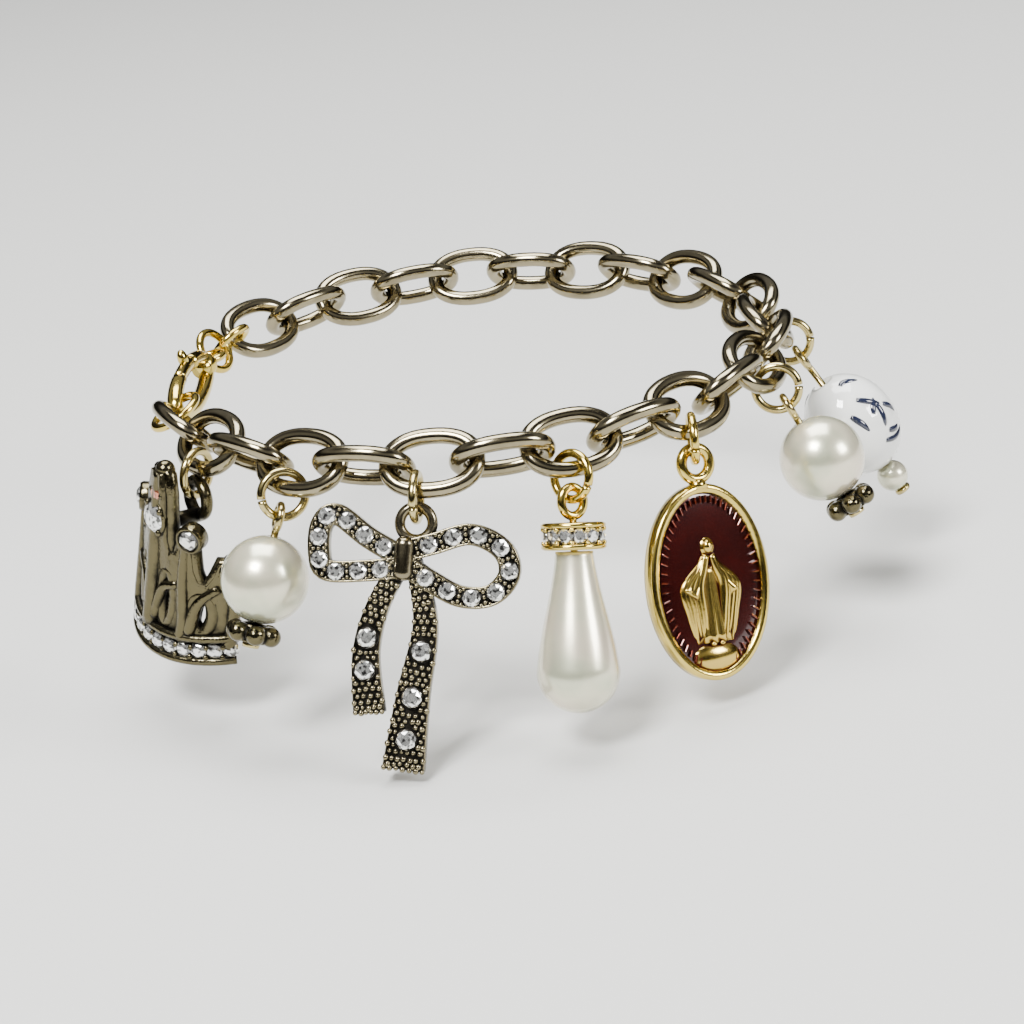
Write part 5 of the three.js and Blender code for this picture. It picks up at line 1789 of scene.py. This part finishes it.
    def _ribs(self, piece: Piece) -> None:
        """Raised ribs and scrolls cast along the uprights, inside and out."""
        band_top = self.band_height
        side, middle, top = self.side_height, self.mid_height, self.top_height
        lines = [[(0.0, band_top), (0.0, middle * 0.5), (0.0, middle * 0.8), (0.0, top)]]
        for sign in (1, -1):
            lines += [
                [(sign * 0.5, band_top), (sign * 0.53, side * 0.4), (sign * 0.49, side * 0.75),
                 (sign * 0.5, middle)],
                [(sign * 0.95, band_top), (sign * 0.97, side * 0.5), (sign * 0.95, side)],
                [(sign * 0.06, band_top + 1), (sign * 0.2, side * 0.62), (sign * 0.44, side * 0.72)],
                [(sign * 0.6, band_top + 1), (sign * 0.68, side * 0.6), (sign * 0.86, side * 0.78)],
            ]
        for number, line in enumerate(lines):
            pairs = smooth_pairs(line, 8)
            thick = self.rib if number else self.middle_rib
            for lift, wire in ((-self.rib_sink, thick), (-self.wall + self.rib_sink, thick * 0.8)):
                points = [self._on_wall(x, z, lift) for x, z in pairs]
                piece.add(wire_path(points, wire, 12, taper=cast_taper), BRONZED, [self.shift])
        outline, windows = self._outline()
        lip = self.wall / 2
        for window in windows:
            ring = [self._on_wall(x, z, -lip) for x, z in window]
            piece.add(wire_path(ring, lip + 0.16, 12, True), BRONZED, [self.shift])
        rim = sorted(pair for pair in outline if pair[1] > self.side_height * 0.7)
        points = [self._on_wall(x, z - 0.2, -lip) for x, z in rim]
        piece.add(wire_path(points, lip + 0.08, 12), BRONZED, [self.shift])

    def _band(self, piece: Piece) -> None:
        """Two rails with a row of stones between them and a grain beside each stone."""
        steps = 36
        for height in (0.25, self.band_height - 0.1):
            points = []
            for i in range(steps + 1):
                share = 2 * i / steps - 1
                lift = self._sag(math.degrees(self._turn(share)))
                points.append(self._on_wall(share, height + lift, self.band_swell - self.rail * 0.7))
            piece.add(wire_path(points, self.rail, 10), BRONZED, [self.shift])
        places, grains = [], []
        for i in range(self.stones):
            deg = self.spread_deg * self.band_share * (2 * i / (self.stones - 1) - 1)
            height = self.band_height / 2 + self._sag(deg)
            places.append(self._at(deg, height, self.radius + self.band_swell * 0.35))
            step = self.spread_deg * self.band_share / (self.stones - 1)
            for side in (0.55, -0.55):
                grains.append(self._at(deg + step, height + side, self.radius + self.band_swell * 0.6))
        piece.add(cut_stone(self.stone, 0.9), CLEAR, places, smooth=False)
        piece.add(ball(0.3, 10, 8), BRONZED, grains[:-2])

    def _tops(self, piece: Piece) -> None:
        """Balls on the three high points, set cups on the side points and the crest stone."""
        middle = self.radius - self.wall / 2
        tips = [self._at(0, self.top_height, middle)]
        tips += [self._at(sign * self.side_deg, self.side_height, middle) for sign in (1, -1)]
        piece.add(ball(self.ball / 2), BRONZED, tips)
        piece.add(level_ring(0.72, 0.2, 15), BRONZED, [tip @ placed(z=-self.ball * 0.42) for tip in tips])
        cup_radius = self.radius - self.wall / 4
        cups = [self._at(sign * self.mid_deg, self.mid_height, cup_radius) for sign in (1, -1)]
        rim, deep = self.cup / 2, self.cup_depth / 2
        wall = [(0, -deep), (rim * 0.8, -deep), (rim, -deep * 0.6), (rim, deep * 0.7), (rim * 0.9, deep),
                (rim * 0.76, deep), (rim * 0.72, deep * 0.7), (0, deep * 0.6)]
        piece.add(turned(wall, 32), BRONZED, [place @ placed(turn_x=90) for place in cups])
        places = [place @ placed(y=-deep * 0.8) for place in cups]
        piece.add(cut_stone(self.cup_stone, 0.4), CLEAR, places, smooth=False)
        crest_at = self._at(0, self.crest_height, self.radius + 0.1)
        piece.add(cut_stone(self.crest, self.wall), CLEAR, [crest_at], smooth=False)
        piece.add(turned(self.seat, 32), BRONZED, [crest_at @ placed(turn_x=90, y=0.3)])
        claw = placed(x=self.crest * 0.47, y=-0.25)
        claws = [crest_at @ placed(turn_y=45 + 90 * i) @ claw for i in range(4)]
        piece.add(ball(self.claw, 12, 10), BRONZED, claws)
        amber_at = self._at(0, self.top_height - self.amber_drop, self.radius + 0.15)
        piece.add(cut_stone(self.amber, 0.6), AMBER, [amber_at], smooth=False)
        piece.add(ball(0.32, 12, 10), BRONZED, [amber_at @ placed(x) for x in (0.9, -0.9)])

    def _bail(self, piece: Piece) -> None:
        """The ring behind the crown and the post that carries it."""
        lift = (self.bail_outer - self.bail_wire) / 2
        reach = self.set_back - self.wall / 2
        piece.add(ring_of_wire(self.bail_outer, self.bail_wire), BRONZED)
        piece.add(rod(self.post, reach), BRONZED, [placed(y=-reach / 2, z=-lift, turn_x=90)])


@dataclass
class Studio:
    """The floor, the soft lights and the camera, whose place is in millimetres."""

    under: float = 0.0006
    camera_at: tuple = (14.93, -286.09, 90.45)
    forward: tuple = (-0.0413, 0.9355, -0.3508)
    right: tuple = (0.9931, 0.0, -0.117)
    field_deg: float = 19.51
    sky: float = 0.6
    backdrop: Colour = (1.05, 1.05, 1.02, 1)
    floor_size: float = 2.5
    floor_colour: Colour = (0.58, 0.58, 0.56, 1)
    floor_roughness: float = 0.75
    sky_stops: tuple = (
        (0.0, (0.5, 0.5, 0.49, 1)), (0.48, (0.4, 0.4, 0.39, 1)), (0.52, (0.02, 0.019, 0.018, 1)),
        (0.66, (0.03, 0.029, 0.027, 1)), (0.74, (0.5, 0.5, 0.49, 1)), (0.84, (0.45, 0.45, 0.45, 1)),
        (0.9, (0.06, 0.06, 0.06, 1)), (1.0, (0.05, 0.05, 0.05, 1)),
    )
    lamps: tuple = (
        ("key_softbox", (-0.18, -0.34, 0.5), 9.0, 0.2),
        ("fill_softbox", (0.42, -0.2, 0.22), 2.5, 0.16),
        ("top_softbox", (0.0, 0.15, 0.55), 6.0, 0.4),
    )

    def build(self) -> None:
        """Makes the whole studio."""
        self._floor()
        self._world()
        for lamp in self.lamps:
            self._lamp(*lamp)
        self._camera()

    def _floor(self) -> None:
        """A pale level floor."""
        bm = bmesh.new()
        bmesh.ops.create_grid(bm, x_segments=1, y_segments=1, size=self.floor_size)
        mesh = bpy.data.meshes.new("floor")
        bm.to_mesh(mesh)
        bm.free()
        mesh.transform(Matrix.Translation((0, 0, CAD_BOX[0][2] - self.under)))
        paint = bpy.data.materials.new("pale_floor")
        Tree(paint).surface(Base_Color=self.floor_colour, Roughness=self.floor_roughness)
        mesh.materials.append(paint)
        floor = bpy.data.objects.new("floor", mesh)
        bpy.context.scene.collection.objects.link(floor)

    def _world(self) -> None:
        """A banded sky, so that polished metal has light and dark to reflect, behind a pale backdrop."""
        world = bpy.data.worlds.new("studio")
        bpy.context.scene.world = world
        tree = Tree(world)
        way = tree.node("ShaderNodeTexCoord", {}, {}, "Generated")
        height = tree.node("ShaderNodeSeparateXYZ", {}, {0: way}, "Z")
        grey = tree.ramp(height * 0.5 + 0.5, *self.sky_stops)
        seen = tree.node("ShaderNodeLightPath", {}, {}, "Is Camera Ray")
        backdrop = tree.mix(seen, grey, self.backdrop)
        shader = tree.node("ShaderNodeBackground", {}, {"Color": backdrop, "Strength": self.sky})
        tree.end("ShaderNodeOutputWorld", shader)

    def _lamp(self, name: str, at: tuple, power: float, size: float) -> None:
        """One square soft light that looks at the loop.

        Args:
            name: The light's name.
            at: Where it hangs, in metres.
            power: Its power in watts.
            size: Its side in metres.
        """
        lamp = bpy.data.lights.new(name, "AREA")
        lamp.energy = power
        lamp.size = size
        made = bpy.data.objects.new(name, lamp)
        made.location = at
        made.rotation_euler = (-Vector(at)).to_track_quat("-Z", "Y").to_euler()
        bpy.context.scene.collection.objects.link(made)

    def _camera(self) -> None:
        """The photograph's view, with its slight roll."""
        forward, right = Vector(self.forward).normalized(), Vector(self.right).normalized()
        up = right.cross(forward)
        turn = Matrix((right, up, -forward)).transposed().to_4x4()
        camera = bpy.data.cameras.new("camera")
        camera.sensor_width = 36.0
        camera.lens = 18.0 / math.tan(math.radians(self.field_deg) / 2)
        camera.clip_start = 0.005
        made = bpy.data.objects.new("camera", camera)
        made.matrix_world = Matrix.Translation(Vector(self.camera_at) * MM) @ turn
        bpy.context.scene.collection.objects.link(made)
        bpy.context.scene.camera = made


def charms() -> list[Charm]:
    """The seven charms in their order round the loop."""
    return [
        CrownCharm("crown", Hang(-4, 0, 5, -3, -30, 35), Body.CROWN),
        PearlCharm("pearl_left", Hang(-2, -1.0, 25, -8, -74, 14)),
        BowCharm("bow", Hang(0, -1.45, 21, -4.5, -6, 84), Body.BOW),
        TeardropCharm("teardrop", Hang(2, -0.9, 18, -11, 50, -65), Body.TEARDROP, GOLD),
        MedalCharm("medal", Hang(4, -1.5, 13, -13, 3, 116.5), Body.MEDAL, GOLD),
        PearlCharm("pearl_right", Hang(6, -0.6, 30, -3, 88, 0)),
        PorcelainCharm("porcelain", Hang(8, 0, 31, -6, 90, 0)),
    ]


def main() -> None:
    """Builds the studio and every piece."""
    logging.basicConfig(level=logging.INFO)
    Studio().build()
    Chain().build()
    Clasp().build()
    for charm in charms():
        charm.build()
        log.info("%s is in place", charm.name)
    bpy.context.view_layer.update()


if __name__ == "__main__":
    main()
